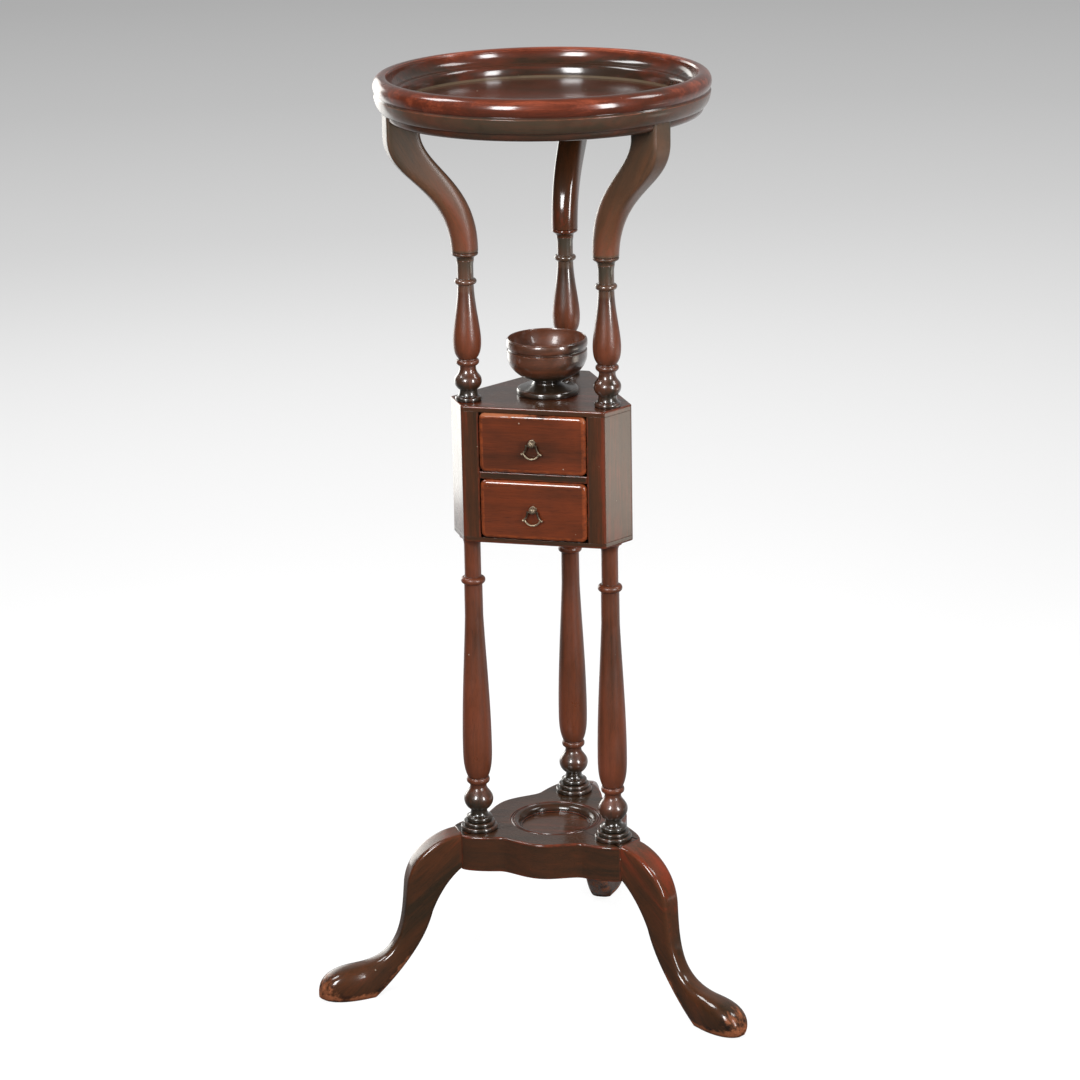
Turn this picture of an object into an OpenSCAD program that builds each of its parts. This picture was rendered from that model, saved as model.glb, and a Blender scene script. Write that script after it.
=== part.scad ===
// Washstand in turned and carved mahogany.
// A dished basin ring stands on three scrolled brackets and turned posts over a
// three-cornered cabinet with two drawers and a soap bowl, and three lower posts
// join the cabinet to a shaped platform on three cabriole legs.
// Millimetres, +Z up, drawers facing -Y, feet on Z = 0.

/* [Platform] */
// Height of the platform's top above the floor
platform_z = 145.5; // [136:0.5:160]
// Thickness of the platform
platform_t = 32; // [26:0.5:38]
// Distance from the stand's axis to the end of each platform arm
arm_r = 90; // [87:0.5:98]
// Reach of the bow in the middle of each platform side
bow_r = 64.5; // [60:0.5:70]
// Reach of each platform side where it is drawn in
waist_r = 55; // [50:0.5:58]
// Distance of the drawn-in place from the middle of the side
waist_v = 38; // [34:0.5:44]
// Radius of the recess where its moulding starts
recess_r = 37; // [30:0.5:40]
// Radius of the flat floor of the recess
recess_floor_r = 30; // [22:0.5:33]
// Depth of the recess
recess_depth = 6.5; // [4:0.25:10]
// Radius of the scribed line round the recess
scribe_r = 39.8; // [38:0.2:46]

/* [Legs] */
// Distance from the stand's axis to the tip of each toe
toe_r = 220; // [205:1:240]
// Width of a leg where it meets the platform
leg_w = 25; // [21:0.5:29]
// Width of a leg at the ankle
ankle_w = 17; // [13:0.5:21]
// Width of the pad foot
foot_w = 30; // [24:0.5:36]
// Reach of the knee
knee_r = 139; // [130:0.5:146]
// Height of the knee
knee_z = 99; // [92:0.5:106]
// Height of the instep over the foot
instep_z = 31; // [26:0.5:36]
// Distance from the stand's axis to the heel
heel_r = 170; // [160:0.5:176]
// Thickness of a leg between its knee and the hollow behind it
knee_t = 23; // [19:0.5:27]
// Length of the dovetail that holds a leg in the platform
dovetail_l = 11; // [8:0.5:12]
// Height of that dovetail
dovetail_h = 26; // [18:0.5:28]

/* [Posts] */
// Distance from the stand's axis to each post's axis
post_circle_r = 70; // [68:0.5:71]
// Length of a lower post between its shoulders
lower_post_l = 270.5; // [240:0.5:310]
// Radius of a lower post's slim shaft
lower_shaft_r = 7.9; // [7:0.1:9.5]
// Radius of a lower post's vase where it is fullest
lower_vase_r = 12.8; // [11:0.1:14]
// Radius of a lower post's base
lower_base_r = 16.3; // [14.5:0.1:17.5]
// Height of a lower post's bulb above the platform
lower_bulb_z = 27; // [25.5:0.5:30]
// Height of the collar over that bulb
lower_collar_z = 46; // [44:0.5:52]
// Height at which a lower post's vase is fullest
lower_vase_z = 76; // [68:1:90]
// Distance of a lower post's bead below the cabinet
lower_bead_drop = 40.5; // [30:0.5:50]
// Height of the flared head of a lower post
lower_head_h = 9; // [5:0.5:14]
// Length of an upper post between its shoulders
upper_post_l = 121.5; // [112:0.5:145]
// Radius of an upper post's slim shaft
upper_shaft_r = 6.9; // [5.8:0.1:7.6]
// Radius of an upper post's vase where it is fullest
upper_vase_r = 12; // [10:0.1:13]
// Radius of an upper post's base
upper_base_r = 11.3; // [10.5:0.1:12.5]
// Height of an upper post's bulb above the cabinet
upper_bulb_z = 16.5; // [15.5:0.5:18]
// Height of the collar over that bulb
upper_collar_z = 33.7; // [33:0.1:38]
// Height at which an upper post's vase is fullest
upper_vase_z = 52; // [48:0.5:60]
// Distance of an upper post's bead below the bracket
upper_bead_drop = 18.3; // [12:0.1:24]
// Radius of the tenon at a lower post's foot
lower_tenon_r = 6; // [5:0.1:6.6]
// Length of the tenon at a lower post's foot
lower_tenon_l = 20; // [14:0.5:24]
// Radius of the tenon at a lower post's head
head_tenon_r = 5; // [4:0.1:5.5]
// Radius of the tenon at an upper post's foot
foot_tenon_r = 4.5; // [3.5:0.1:5.5]
// Depth that the cabinet tenons reach into a corner stile
stile_tenon_l = 12; // [8:0.5:20]
// Radius of the tenon at an upper post's head
bracket_tenon_r = 4; // [3:0.1:5]
// Length of the tenon at an upper post's head
bracket_tenon_l = 12; // [8:0.5:16]

/* [Cabinet] */
// Height of the cabinet
cabinet_h = 119.5; // [112:0.5:130]
// Distance from the stand's axis to each long side of the cabinet
cabinet_a = 56; // [54:0.5:58]
// Distance from the stand's axis to each flat corner
corner_a = 81.4; // [80:0.1:85]
// Thickness of the cabinet's top and bottom boards
board_t = 4.5; // [4:0.25:7]
// Width of a corner stile on the long sides
stile_w = 14.8; // [13:0.1:18]
// Depth of a corner stile behind the long sides
stile_d = 12; // [9:0.5:13]
// Thickness of the closed side panels
panel_t = 6; // [4.5:0.25:8]
// Thickness of the tongues on the side panels
tongue_t = 2.5; // [1.5:0.25:3.5]
// Length of the tongues on the side panels and the drawer rail
tongue_l = 3; // [2:0.25:4]
// Height of the rail between the drawers
rail_h = 6; // [5:0.25:9]
// Depth of that rail
rail_d = 8; // [6:0.5:10]
// Thickness of the dustboard that carries the upper drawer
dustboard_t = 4; // [3:0.25:5]
// Shoulder round the tenons of that rail
rail_shoulder = 1.5; // [1:0.25:2]
// Depth of the housing that holds the dustboard in a side panel
housing_d = 2; // [1:0.25:3]

/* [Drawers] */
// Gap round a drawer front
drawer_gap = 0.45; // [0.3:0.05:0.8]
// Gap under a closed drawer
drawer_lift = 0.3; // [0.2:0.05:0.5]
// Distance that a drawer front stands proud of the cabinet
drawer_proud = 2; // [0.5:0.25:4]
// Thickness of a drawer front
front_t = 9; // [8:0.25:11]
// Radius of the rounded edges of a drawer front
front_edge_r = 3; // [1:0.25:4]
// Radius of the round corners of a drawer front
front_corner_r = 2.8; // [1:0.1:4]
// Depth of a drawer from the cabinet's face to its back
drawer_depth = 70; // [50:1:73]
// Thickness of a drawer's sides and back
drawer_side_t = 5; // [4:0.25:6]
// Thickness of a drawer's bottom
drawer_bottom_t = 3; // [2:0.25:4]
// Height of a drawer's bottom above its lower edge
drawer_bottom_up = 5; // [4.5:0.25:8]
// Depth of the grooves that hold a drawer's bottom
groove_d = 2; // [1:0.25:3]
// Distance of a drawer's back below the top of its sides
back_drop = 4; // [0:0.5:8]
// Length of the dovetails on a drawer's sides
tail_l = 6; // [4:0.25:7]
// Width of a dovetail at its root
tail_w = 11; // [8:0.5:12]
// Amount that a dovetail widens towards its end, on each side
tail_flare = 1.2; // [0.5:0.1:2]
// Height of the drawer stops
stop_h = 3.5; // [2:0.25:4]

/* [Pulls] */
// Height of a pull's pivot above the middle of its drawer front
pull_up = 0; // [-4:0.5:4]
// Radius of a pull's head
pull_head_r = 3; // [2.8:0.1:3.3]
// Height of the middle of a pull's head above its pivot
head_up = 1.6; // [0:0.1:2]
// Distance from a drawer front to a pull's pivot
pull_reach = 3.4; // [3:0.1:5]
// Radius of a pull's shank
shank_r = 1.5; // [1.2:0.1:2]
// Radius of the balls at a bail's pivots
ball_r = 1; // [0.9:0.05:1.3]
// Radius of a bail's pivot pins
pin_r = 0.65; // [0.5:0.05:0.75]
// Length of a pivot pin
pin_l = 2.4; // [1.5:0.1:3]
// Radial clearance of a pivot pin in the head
pin_clear = 0.06; // [0.04:0.01:0.1]
// Radius of a bail's arms
bail_r = 0.8; // [0.7:0.05:0.85]
// Radius of the small balls at a bail's tips
bail_tip_r = 1.1; // [1:0.05:1.4]
// Radius of the curve of each bail arm
bail_arm_r = 9; // [8.6:0.1:9.4]
// Angle through which each bail arm curves outwards
bail_arm_turn = 55; // [52:1:57]
// Radius of a bail's crescent
bail_bow_r = 7.2; // [7:0.1:7.5]
// Distance of the crescent's centre below the pivots
bail_bow_drop = 4.4; // [4:0.1:5]
// Angle that the crescent spans
bail_bow_span = 148; // [144:1:152]
// Thickness of a pull's nut
nut_t = 2; // [1.5:0.25:3]

/* [Soap bowl] */
// Height of the soap bowl
bowl_h = 49; // [42:0.5:56]
// Radius of the bowl's rim
bowl_rim_r = 34.8; // [31:0.2:38]
// Radius of the bowl's foot
bowl_foot_r = 26.6; // [23:0.2:29]
// Radius of the bowl's neck
bowl_neck_r = 12.2; // [10:0.2:14]
// Thickness of the bowl's wall
bowl_wall = 2.2; // [1.8:0.1:3]
// Height of the inside of the bowl
bowl_inside_h = 30; // [24:0.5:32]
// Radius of the bowl's tenon
bowl_tenon_r = 5; // [4:0.2:7]

/* [Scroll brackets] */
// Height of a bracket from the post to the ring's fascia
bracket_h = 126; // [114:1:136]
// Distance from the stand's axis to a bracket's outer face
bracket_out_r = 135.9; // [133:0.1:136]
// Depth of a bracket's square head
bracket_head_d = 28.5; // [24:0.5:30]
// Width of a bracket's square head
bracket_w = 20.5; // [17:0.5:23]
// Radius of a bracket where it meets the post
bracket_foot_r = 11.3; // [10:0.1:12.5]
// Height of the collar at a bracket's foot
collar_h = 7.5; // [6:0.1:9]
// Length of a bracket's tenon into the ring
head_tenon_l = 6; // [4:0.25:7]

/* [Basin ring] */
// Outer radius of the ring's rim
ring_r = 141.2; // [140:0.2:146]
// Half the width of the round rim
rim_w = 7.8; // [6.5:0.1:8.5]
// Half the height of the round rim
rim_h = 8.8; // [7.5:0.1:10]
// Height of the fascia from its lower edge to the middle of the rim
fascia_h = 19.2; // [17:0.1:22]
// Radius of the fascia's lower edge
fascia_r = 136.2; // [136:0.1:137]
// Distance that the fascia's upper edge stands out over its lower one
fascia_swell = 4.4; // [3:0.1:4.6]
// Height of the fascia
fascia_rise = 11.8; // [10:0.1:12.5]
// Height of the under-moulding below the fascia
under_h = 7; // [6:0.1:9]
// Radius of the under-moulding
under_r = 134.5; // [132:0.1:136]
// Inner radius of the lip that carries the floor
lip_r = 110; // [106:0.5:113]
// Inner radius of the ring above the floor
well_r = 117.8; // [116:0.2:119]
// Thickness of the floor disc
floor_t = 4; // [3:0.25:7]

/* [Hidden] */
$fn = 96;

// Directions of the three corners and of the three sides, seen from the axis
LEFT = 210;
RIGHT = 330;
REAR = 90;
FRONT = 270;
LEFT_SIDE = 150;
RIGHT_SIDE = 30;

// Clearance round glued tenons, tongues and dovetails
glue = 0.1;
// Clearance between the floor disc and the ring
floor_gap = 0.2;
// Chamfer at the end of a tenon
tenon_chamfer = 0.5;
// Distance between a pull's head and the balls beside it
ball_gap = 0.1;
// Length and width of a bracket's tenon
head_tenon_d = 11;
head_tenon_w = 10;
// Steps along a curve and sides of a carved section
CURVE_STEPS = 8;
CARVED_SIDES = 24;

// Finishes
RED_BROWN = [0.36, 0.12, 0.07];
DARK_BROWN = [0.24, 0.11, 0.07];
DRAWER_RED = [0.42, 0.15, 0.08];
PALE_WOOD = [0.62, 0.43, 0.27];
BRASS = [0.66, 0.55, 0.34];

// The stand's axis lies in front of the origin, because the rear leg reaches further back
axis_y = (ring_r - toe_r) / 2;

// Heights of the main levels
platform_low = platform_z - platform_t;
cabinet_low = platform_z + lower_post_l;
cabinet_top_z = cabinet_low + cabinet_h;
bracket_low = cabinet_top_z + upper_post_l;
fascia_z = bracket_low + bracket_h;
rim_z = fascia_z + fascia_h;
ring_low = fascia_z - under_h;
floor_z = fascia_z + floor_t;

// Cabinet sizes that follow from the plan
corner_half = (2 * cabinet_a - corner_a) * tan(30);
face_half = (corner_a - cabinet_a / 2) / cos(30);
opening_half = face_half - stile_w;
stile_low = cabinet_low + board_t;
stile_h = cabinet_h - 2 * board_t;
opening_h = (stile_h - rail_h) / 2;
rail_z = stile_low + opening_h;
lower_opening_z = stile_low;
upper_opening_z = rail_z + rail_h;
dustboard_z = upper_opening_z - dustboard_t;

// Drawer sizes that follow from the openings
face_y = axis_y - cabinet_a;
drawer_w = 2 * (opening_half - drawer_gap);
front_h = opening_h - drawer_lift - drawer_gap;
front_y = face_y - drawer_proud;
front_back_y = front_y + front_t;
drawer_back_y = face_y + drawer_depth;
drawer_floor_up = drawer_bottom_up + drawer_bottom_t;

// Pull sizes: the pivot balls flank the head
pull_y = front_y - pull_reach;
ball_x = pull_head_r + ball_gap + ball_r;

// Point at t along a cubic curve with four control points
function curve_point(p, t) =
  p[0] * pow(1 - t, 3) + 3 * p[1] * t * pow(1 - t, 2) + 3 * p[2] * t * t * (1 - t) + p[3] * pow(t, 3);

// Points along a cubic curve, without its last point
function curve(p, n = CURVE_STEPS) = [for (i = [0:n - 1]) curve_point(p, i / n)];

// A point turned about the axis
function turn(p, angle) = [p[0] * cos(angle) - p[1] * sin(angle), p[0] * sin(angle) + p[1] * cos(angle)];

// Smooth change from a to b as t goes from 0 to 1
function ease(a, b, t) = a + (b - a) * (1 - cos(180 * min(1, max(0, t)))) / 2;

// Profile of a round bead that stands dr proud of radius r between two heights
function bead(r, dr, low, high) =
  [for (i = [0:8]) [r + dr * sin(22.5 * i), (low + high) / 2 - (high - low) / 2 * cos(22.5 * i)]];

// Hollow quarter curve from one profile point to the next
function cove(a, b) =
  [for (i = [0:6]) [a[0] + (b[0] - a[0]) * sin(15 * i), b[1] + (a[1] - b[1]) * cos(15 * i)]];

// Quarter curve that leaves one profile point upright and reaches the next one level
function flare(a, b) =
  [for (i = [0:6]) [b[0] + (a[0] - b[0]) * cos(15 * i), a[1] + (b[1] - a[1]) * sin(15 * i)]];

// Profile of a tenon below a turning, and of one above a shoulder at height l
function foot_tenon(r, length) =
  [[0, -length], [r - tenon_chamfer, -length], [r, tenon_chamfer - length], [r, 0]];
function head_tenon(r, length, l) =
  [[r, l], [r, l + length - tenon_chamfer], [r - tenon_chamfer, l + length], [0, l + length]];

// Rectangle with round corners, as points
function round_rect(w, h, r) =
  [for (c = [[1, 1, 0], [-1, 1, 90], [-1, -1, 180], [1, -1, 270]], i = [0:6])
    [c[0] * (w / 2 - r) + r * cos(c[2] + 15 * i), c[1] * (h / 2 - r) + r * sin(c[2] + 15 * i)]];

// Places children at a corner or side of the stand, with local X pointing outwards
module toward(angle) {
  translate([0, axis_y, 0]) rotate([0, 0, angle]) children();
}

// Turned solid from a list of [radius, height] points
module turned(profile, centre_r = 0) {
  translate([centre_r, 0, 0]) rotate_extrude() polygon(profile);
}

// One ring of a carved section between an outer and an inner point of [reach, height];
// a squareness of 2 is an ellipse and a larger one is nearer to a rectangle
function section_ring(s) =
  let (middle = (s[0] + s[1]) / 2, half = (s[0] - s[1]) / 2, power = 2 / s[3])
  [for (k = [0:CARVED_SIDES - 1])
    let (a = 360 * k / CARVED_SIDES,
         c = sign(cos(a)) * pow(abs(cos(a)), power),
         d = sign(sin(a)) * pow(abs(sin(a)), power),
         p = middle + half * c)
    [p[0], s[2] * d, p[1]]];

// Carved solid through sections of [outer point, inner point, half width, squareness]
module carved(sections) {
  n = CARVED_SIDES;
  last = len(sections) - 1;
  points = [for (s = sections) each section_ring(s)];
  sides = [for (i = [0:last - 1], k = [0:n - 1])
    let (a = i * n + k, b = i * n + (k + 1) % n)
    each [[a, b, a + n], [b, b + n, a + n]]];
  start = [for (k = [n - 1:-1:0]) k];
  end = [for (k = [0:n - 1]) last * n + k];
  polyhedron(points, concat([start], sides, [end]), convexity = 6);
}

// Plan of the cabinet, drawn in or let out by grow
module cabinet_plan(grow = 0) {
  a = cabinet_a + grow;
  c = corner_a + grow;
  half = (2 * a - c) * tan(30);
  corners = [for (angle = [REAR, LEFT, RIGHT], side = [-1, 1]) turn([c, side * half], angle)];
  translate([0, axis_y]) polygon(corners);
}

// Plan of a corner stile in its local frame, let out by grow on its inner sides
module stile_plan(grow = 0) {
  w = stile_w + grow;
  d = stile_d + grow;
  edge = [corner_a - w * cos(30), corner_half + w * sin(30)];
  inner = edge + d * [-cos(60), -sin(60)];
  polygon([[corner_a, -corner_half], [corner_a, corner_half], edge, inner,
           [inner[0], -inner[1]], [edge[0], -edge[1]]]);
}

// Both tongues of a side panel, in that side's own frame
module panel_tongues(clear) {
  for (side = [-1, 1])
    translate([cabinet_a - panel_t / 2, side * (opening_half + tongue_l / 2)])
      square([tongue_t + 2 * clear, tongue_l + 2 * (clear + glue)], center = true);
}

// Ring: under-moulding, swelling fascia, round rim, hollow and ovolo inside, ledge for the floor
module basin_ring() {
  crest = [ring_r - rim_w, rim_z];
  rim_from = -38;
  rim_to = 114;
  rim_steps = 38;
  arris = [crest[0] - rim_w / 2, rim_z + rim_h * 0.72];
  ovolo_w = 3.7;
  ovolo_h = 10.8;
  hollow = [well_r + ovolo_w, floor_z + ovolo_h];
  under_round = 5;
  under = [under_r - under_round, ring_low];
  lip_chamfer = 1.5;
  fascia_top = [fascia_r + fascia_swell, fascia_z + fascia_rise];
  profile = concat(
    [[lip_r, ring_low + lip_chamfer], [lip_r + lip_chamfer, ring_low]],
    [for (i = [0:6]) under + under_round * [sin(15 * i), 1 - cos(15 * i)]],
    [[under_r, fascia_z]],
    curve([[fascia_r, fascia_z], [fascia_r + 0.55 * fascia_swell, fascia_z + 0.2 * fascia_rise],
           fascia_top - [0.3, 0.45 * fascia_rise], fascia_top]),
    [fascia_top],
    [for (i = [0:rim_steps]) let (a = rim_from + (rim_to - rim_from) * i / rim_steps)
      crest + [rim_w * cos(a), rim_h * sin(a)]],
    [for (i = [0:6]) [hollow[0] + (arris[0] - hollow[0]) * cos(15 * i),
      arris[1] - (arris[1] - hollow[1]) * sin(15 * i)]],
    [for (i = [1:6]) [hollow[0] - ovolo_w * sin(15 * i), floor_z + ovolo_h * cos(15 * i)]],
    [[well_r, fascia_z], [lip_r, fascia_z]]);
  slot_from = lip_r - 5;
  color(RED_BROWN) difference() {
    translate([0, axis_y, 0]) rotate_extrude($fn = 180) polygon(profile);
    for (angle = [LEFT, RIGHT, REAR]) toward(angle) {
      translate([slot_from, -bracket_w / 2 - glue, ring_low - 1])
        cube([bracket_out_r + glue - slot_from, bracket_w + 2 * glue, under_h + 1]);
      translate([0, 0, fascia_z - 1]) linear_extrude(head_tenon_l + 1 + glue) head_tenon_plan(glue);
    }
  }
}

// Plan of the tenon between a bracket and the ring
module head_tenon_plan(clear) {
  translate([(well_r + fascia_r) / 2, 0])
    square([head_tenon_d + 2 * clear, head_tenon_w + 2 * clear], center = true);
}

module basin_floor() {
  color(RED_BROWN) translate([0, axis_y, fascia_z])
    cylinder(h = floor_t, r = well_r - floor_gap, $fn = 180);
}

// Scrolled bracket: a square head under the ring, an S curve, and a round foot with a
// beaded and flared collar on the post
module scroll_bracket(angle) {
  head_in = bracket_out_r - bracket_head_d;
  foot_z = bracket_low + collar_h;
  rise = fascia_z - foot_z;
  foot_out = post_circle_r + bracket_foot_r;
  foot_in = post_circle_r - bracket_foot_r;
  outer = [[bracket_out_r, foot_z + 0.84 * rise], [bracket_out_r - 0.4, foot_z + 0.53 * rise],
           [foot_out + 2.5, foot_z + 0.49 * rise], [foot_out, foot_z]];
  inner = [[head_in, foot_z + 0.86 * rise], [head_in - 4, foot_z + 0.62 * rise],
           [foot_in - 0.5, foot_z + 0.5 * rise], [foot_in, foot_z]];
  steps = 15;
  squareness = 9;
  sections = concat(
    [[[bracket_out_r, fascia_z], [head_in, fascia_z], bracket_w / 2, squareness]],
    [for (i = [0:steps]) let (t = i / steps)
      [curve_point(outer, t), curve_point(inner, t), ease(bracket_w / 2, bracket_foot_r, t),
       2 + (squareness - 2) * pow(1 - t, 1.6)]]);
  neck_r = upper_shaft_r + 0.6;
  lip_r = bracket_foot_r - 1;
  bead_low = foot_z - 3.2;
  collar = concat([[0, bracket_low], [neck_r, bracket_low]],
    flare([neck_r, bracket_low + 0.4], [lip_r - 0.4, bead_low - 0.4]),
    bead(lip_r, 0.9, bead_low, foot_z - 0.5),
    [[lip_r + 0.1, foot_z - 0.3], [bracket_foot_r - 0.4, foot_z + 0.2], [0, foot_z + 0.2]]);
  color(DARK_BROWN) toward(angle) difference() {
    union() {
      carved(sections);
      turned(collar, post_circle_r);
      translate([0, 0, fascia_z - 1]) linear_extrude(head_tenon_l + 1) head_tenon_plan(0);
    }
    translate([post_circle_r, 0, bracket_low - 1])
      cylinder(h = bracket_tenon_l + 1 + glue, r = bracket_tenon_r + glue);
  }
}

// Upper post: base, bulb, collar, vase and neck bead, with a tenon at each end
module upper_post(angle) {
  l = upper_post_l;
  b = upper_base_r;
  n = upper_shaft_r;
  v = upper_vase_r;
  bulb = upper_bulb_z;
  collar = upper_collar_z;
  vase = upper_vase_z;
  ring = l - upper_bead_drop;
  profile = concat(
    foot_tenon(foot_tenon_r, board_t + stile_tenon_l),
    [[b - 1, 0]],
    bead(b - 1, 1, 0.2, 3.8),
    [[b - 2, 4.2]],
    cove([b - 2, 4.6], [n + 0.8, bulb - 7]),
    curve([[n + 0.8, bulb - 6.7], [n + 4.4, bulb - 4.5], [n + 6.6, bulb + 1.5], [n + 3, bulb + 5.5]], 6),
    curve([[n + 3, bulb + 5.5], [n + 1, bulb + 8], [n + 0.2, bulb + 9.5], [n + 0.2, collar - 4.6]], 4),
    [[n + 0.2, collar - 3], [n + 1.6, collar - 2.6]],
    bead(n + 1.6, 1.4, collar - 2.1, collar + 2.1),
    [[n + 1.6, collar + 2.5], [n + 1.2, collar + 3]],
    curve([[n + 1.3, collar + 3.4], [n + 4.4, collar + 7.2], [v, vase - 6], [v, vase]]),
    curve([[v, vase], [v, vase + 10], [n + 1, ring - 24], [n, ring - 5]]),
    [[n, ring - 2.9]],
    bead(n, 2.5, ring - 2.5, ring + 2.5),
    [[n, ring + 2.9], [n, l - 4], [n + 0.6, l]],
    head_tenon(bracket_tenon_r, bracket_tenon_l, l));
  color(RED_BROWN) toward(angle) translate([0, 0, cabinet_top_z]) turned(profile, post_circle_r);
}

// Lower post: moulded base, bulb, collar, long vase, shaft bead and flared head
module lower_post(angle) {
  l = lower_post_l;
  b = lower_base_r;
  s = lower_shaft_r;
  v = lower_vase_r;
  neck = s - 0.7;
  head = neck + 3.6;
  bulb = lower_bulb_z;
  collar = lower_collar_z;
  vase = lower_vase_z;
  ring = l - lower_bead_drop;
  profile = concat(
    foot_tenon(lower_tenon_r, lower_tenon_l),
    [[b - 1, 0]],
    bead(b - 1, 1, 0.2, 3.8),
    [[b - 1.6, 4]],
    bead(b - 3.2, 1, 4.3, 7.6),
    [[b - 4.4, 7.9]],
    bead(b - 6.2, 1.7, 8.2, 12.4),
    cove([b - 6.6, 12.7], [neck, bulb - 10]),
    curve([[neck, bulb - 8.6], [s + 3.6, bulb - 6.4], [s + 6.6, bulb], [s + 4, bulb + 5]], 6),
    curve([[s + 4, bulb + 5], [s + 1.8, bulb + 9], [neck, bulb + 10.5], [neck, collar - 5.4]], 5),
    [[neck, collar - 3.4], [s + 0.8, collar - 3]],
    bead(s + 0.9, 1.4, collar - 2.5, collar + 2.5),
    [[s + 0.8, collar + 3], [s + 1.4, collar + 3.8]],
    curve([[s + 1.6, collar + 4.2], [v - 0.6, collar + 11], [v, vase - 12], [v, vase]]),
    curve([[v, vase], [v, vase + 42], [s + 1.6, vase + 84], [s, ring - 29.5]], 10),
    [[s, ring - 3.4]],
    bead(s, 2.7, ring - 3, ring + 3),
    [[neck, ring + 3.4], [neck, l - lower_head_h]],
    flare([neck, l - lower_head_h + 0.4], [head, l - 1.2]),
    [[head, l]],
    head_tenon(head_tenon_r, board_t + stile_tenon_l, l));
  color(RED_BROWN) toward(angle) translate([0, 0, platform_z]) turned(profile, post_circle_r);
}

// Open bowl on a flared foot, with a tenon through the cabinet's top
module soap_bowl() {
  h = bowl_h;
  f = bowl_foot_r;
  r = bowl_rim_r;
  n = bowl_neck_r;
  inner_r = r - bowl_wall;
  floor_h = h - bowl_inside_h;
  profile = concat(
    [[0, -board_t], [bowl_tenon_r, -board_t], [bowl_tenon_r, 0], [f - 1.2, 0]],
    bead(f - 1.2, 1.2, 0.2, 5.2),
    [[f - 2, 5.6]],
    curve([[f - 2.4, 5.8], [f - 7, 6.6], [n, 7.4], [n, 10.6]], 6),
    curve([[n, 10.6], [n, 12.6], [n + 4, 13], [n + 8, 15]], 4),
    curve([[n + 8, 15], [r - 9, 18], [r - 0.6, 24], [r - 0.4, 34.5]], 8),
    [[r - 0.5, h - 10.6], [r - 1.8, h - 9.8], [r - 1.8, h - 8.6]],
    bead(r - 1.1, 1.1, h - 8, h - 0.8),
    [[r - 1.4, h - 0.2], [r - 1.8, h], [inner_r + 0.3, h - 0.2]],
    curve([[inner_r, h - 1], [inner_r + 0.2, h - 16], [inner_r - 12, floor_h], [0, floor_h]], 12),
    [[0, floor_h]]);
  color(DARK_BROWN) translate([0, axis_y, cabinet_top_z]) rotate_extrude() polygon(profile);
}

module cabinet_top() {
  color(DARK_BROWN) difference() {
    translate([0, 0, cabinet_top_z - board_t]) linear_extrude(board_t) cabinet_plan();
    for (angle = [LEFT, RIGHT, REAR]) toward(angle)
      translate([post_circle_r, 0, cabinet_top_z - board_t - 1])
        cylinder(h = board_t + 2, r = foot_tenon_r + glue);
    translate([0, axis_y, cabinet_top_z - board_t - 1]) cylinder(h = board_t + 2, r = bowl_tenon_r + glue);
  }
}

module cabinet_bottom() {
  color(DARK_BROWN) difference() {
    translate([0, 0, cabinet_low]) linear_extrude(board_t) cabinet_plan();
    for (angle = [LEFT, RIGHT, REAR]) toward(angle)
      translate([post_circle_r, 0, cabinet_low - 1]) cylinder(h = board_t + 2, r = head_tenon_r + glue);
  }
}

// Corner stile, bored at both ends for the posts and grooved for what joins it
module corner_stile(angle) {
  color(DARK_BROWN) difference() {
    toward(angle) difference() {
      translate([0, 0, stile_low]) linear_extrude(stile_h) stile_plan();
      translate([post_circle_r, 0, stile_low - 1])
        cylinder(h = stile_tenon_l + 1 + glue, r = head_tenon_r + glue);
      translate([post_circle_r, 0, stile_low + stile_h - stile_tenon_l - glue])
        cylinder(h = stile_tenon_l + 1 + glue, r = foot_tenon_r + glue);
    }
    for (side = [LEFT_SIDE, RIGHT_SIDE]) toward(side)
      translate([0, 0, stile_low - 1]) linear_extrude(stile_h + 2) panel_tongues(glue);
    rail_tenons(glue);
  }
}

// Small tenons at both ends of the drawer rail
module rail_tenons(clear) {
  length = 2 * (opening_half + tongue_l + clear);
  translate([-length / 2, face_y + rail_shoulder - clear, rail_z + rail_shoulder - clear])
    cube([length, rail_d - 2 * rail_shoulder + 2 * clear, rail_h - 2 * rail_shoulder + 2 * clear]);
}

module side_panel(angle) {
  color(DARK_BROWN) difference() {
    toward(angle) translate([0, 0, stile_low]) linear_extrude(stile_h) union() {
      translate([cabinet_a - panel_t, -opening_half + glue]) square([panel_t, 2 * (opening_half - glue)]);
      panel_tongues(0);
    }
    translate([0, 0, dustboard_z - glue]) linear_extrude(dustboard_t + 2 * glue) dustboard_plan(glue);
  }
}

module drawer_rail() {
  color(DARK_BROWN) union() {
    translate([-opening_half + glue, face_y, rail_z]) cube([2 * (opening_half - glue), rail_d, rail_h]);
    rail_tenons(0);
  }
}

// Plan of the dustboard: it fills the cabinet behind the rail, clear of the corner stiles,
// and its two long edges are housed in the side panels
module dustboard_plan(clear) {
  inner = cabinet_a - stile_d - glue;
  front = cabinet_a - rail_d - glue;
  reach = cabinet_a - panel_t + housing_d + clear;
  half = opening_half - glue + clear;
  outline = [for (side = [[FRONT, front], [RIGHT_SIDE, reach], [LEFT_SIDE, reach]],
                  p = [[inner, -half], [side[1], -half], [side[1], half], [inner, half]])
    turn(p, side[0])];
  translate([0, axis_y]) polygon(outline);
}

module dustboard() {
  color(PALE_WOOD) translate([0, 0, dustboard_z]) linear_extrude(dustboard_t) dustboard_plan(0);
}

// Two glued blocks that stop a drawer front
module drawer_stops(floor_height) {
  color(PALE_WOOD) for (side = [-1, 1])
    translate([side * opening_half / 2 - 5, front_back_y + drawer_lift, floor_height]) cube([10, 6, stop_h]);
}

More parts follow.
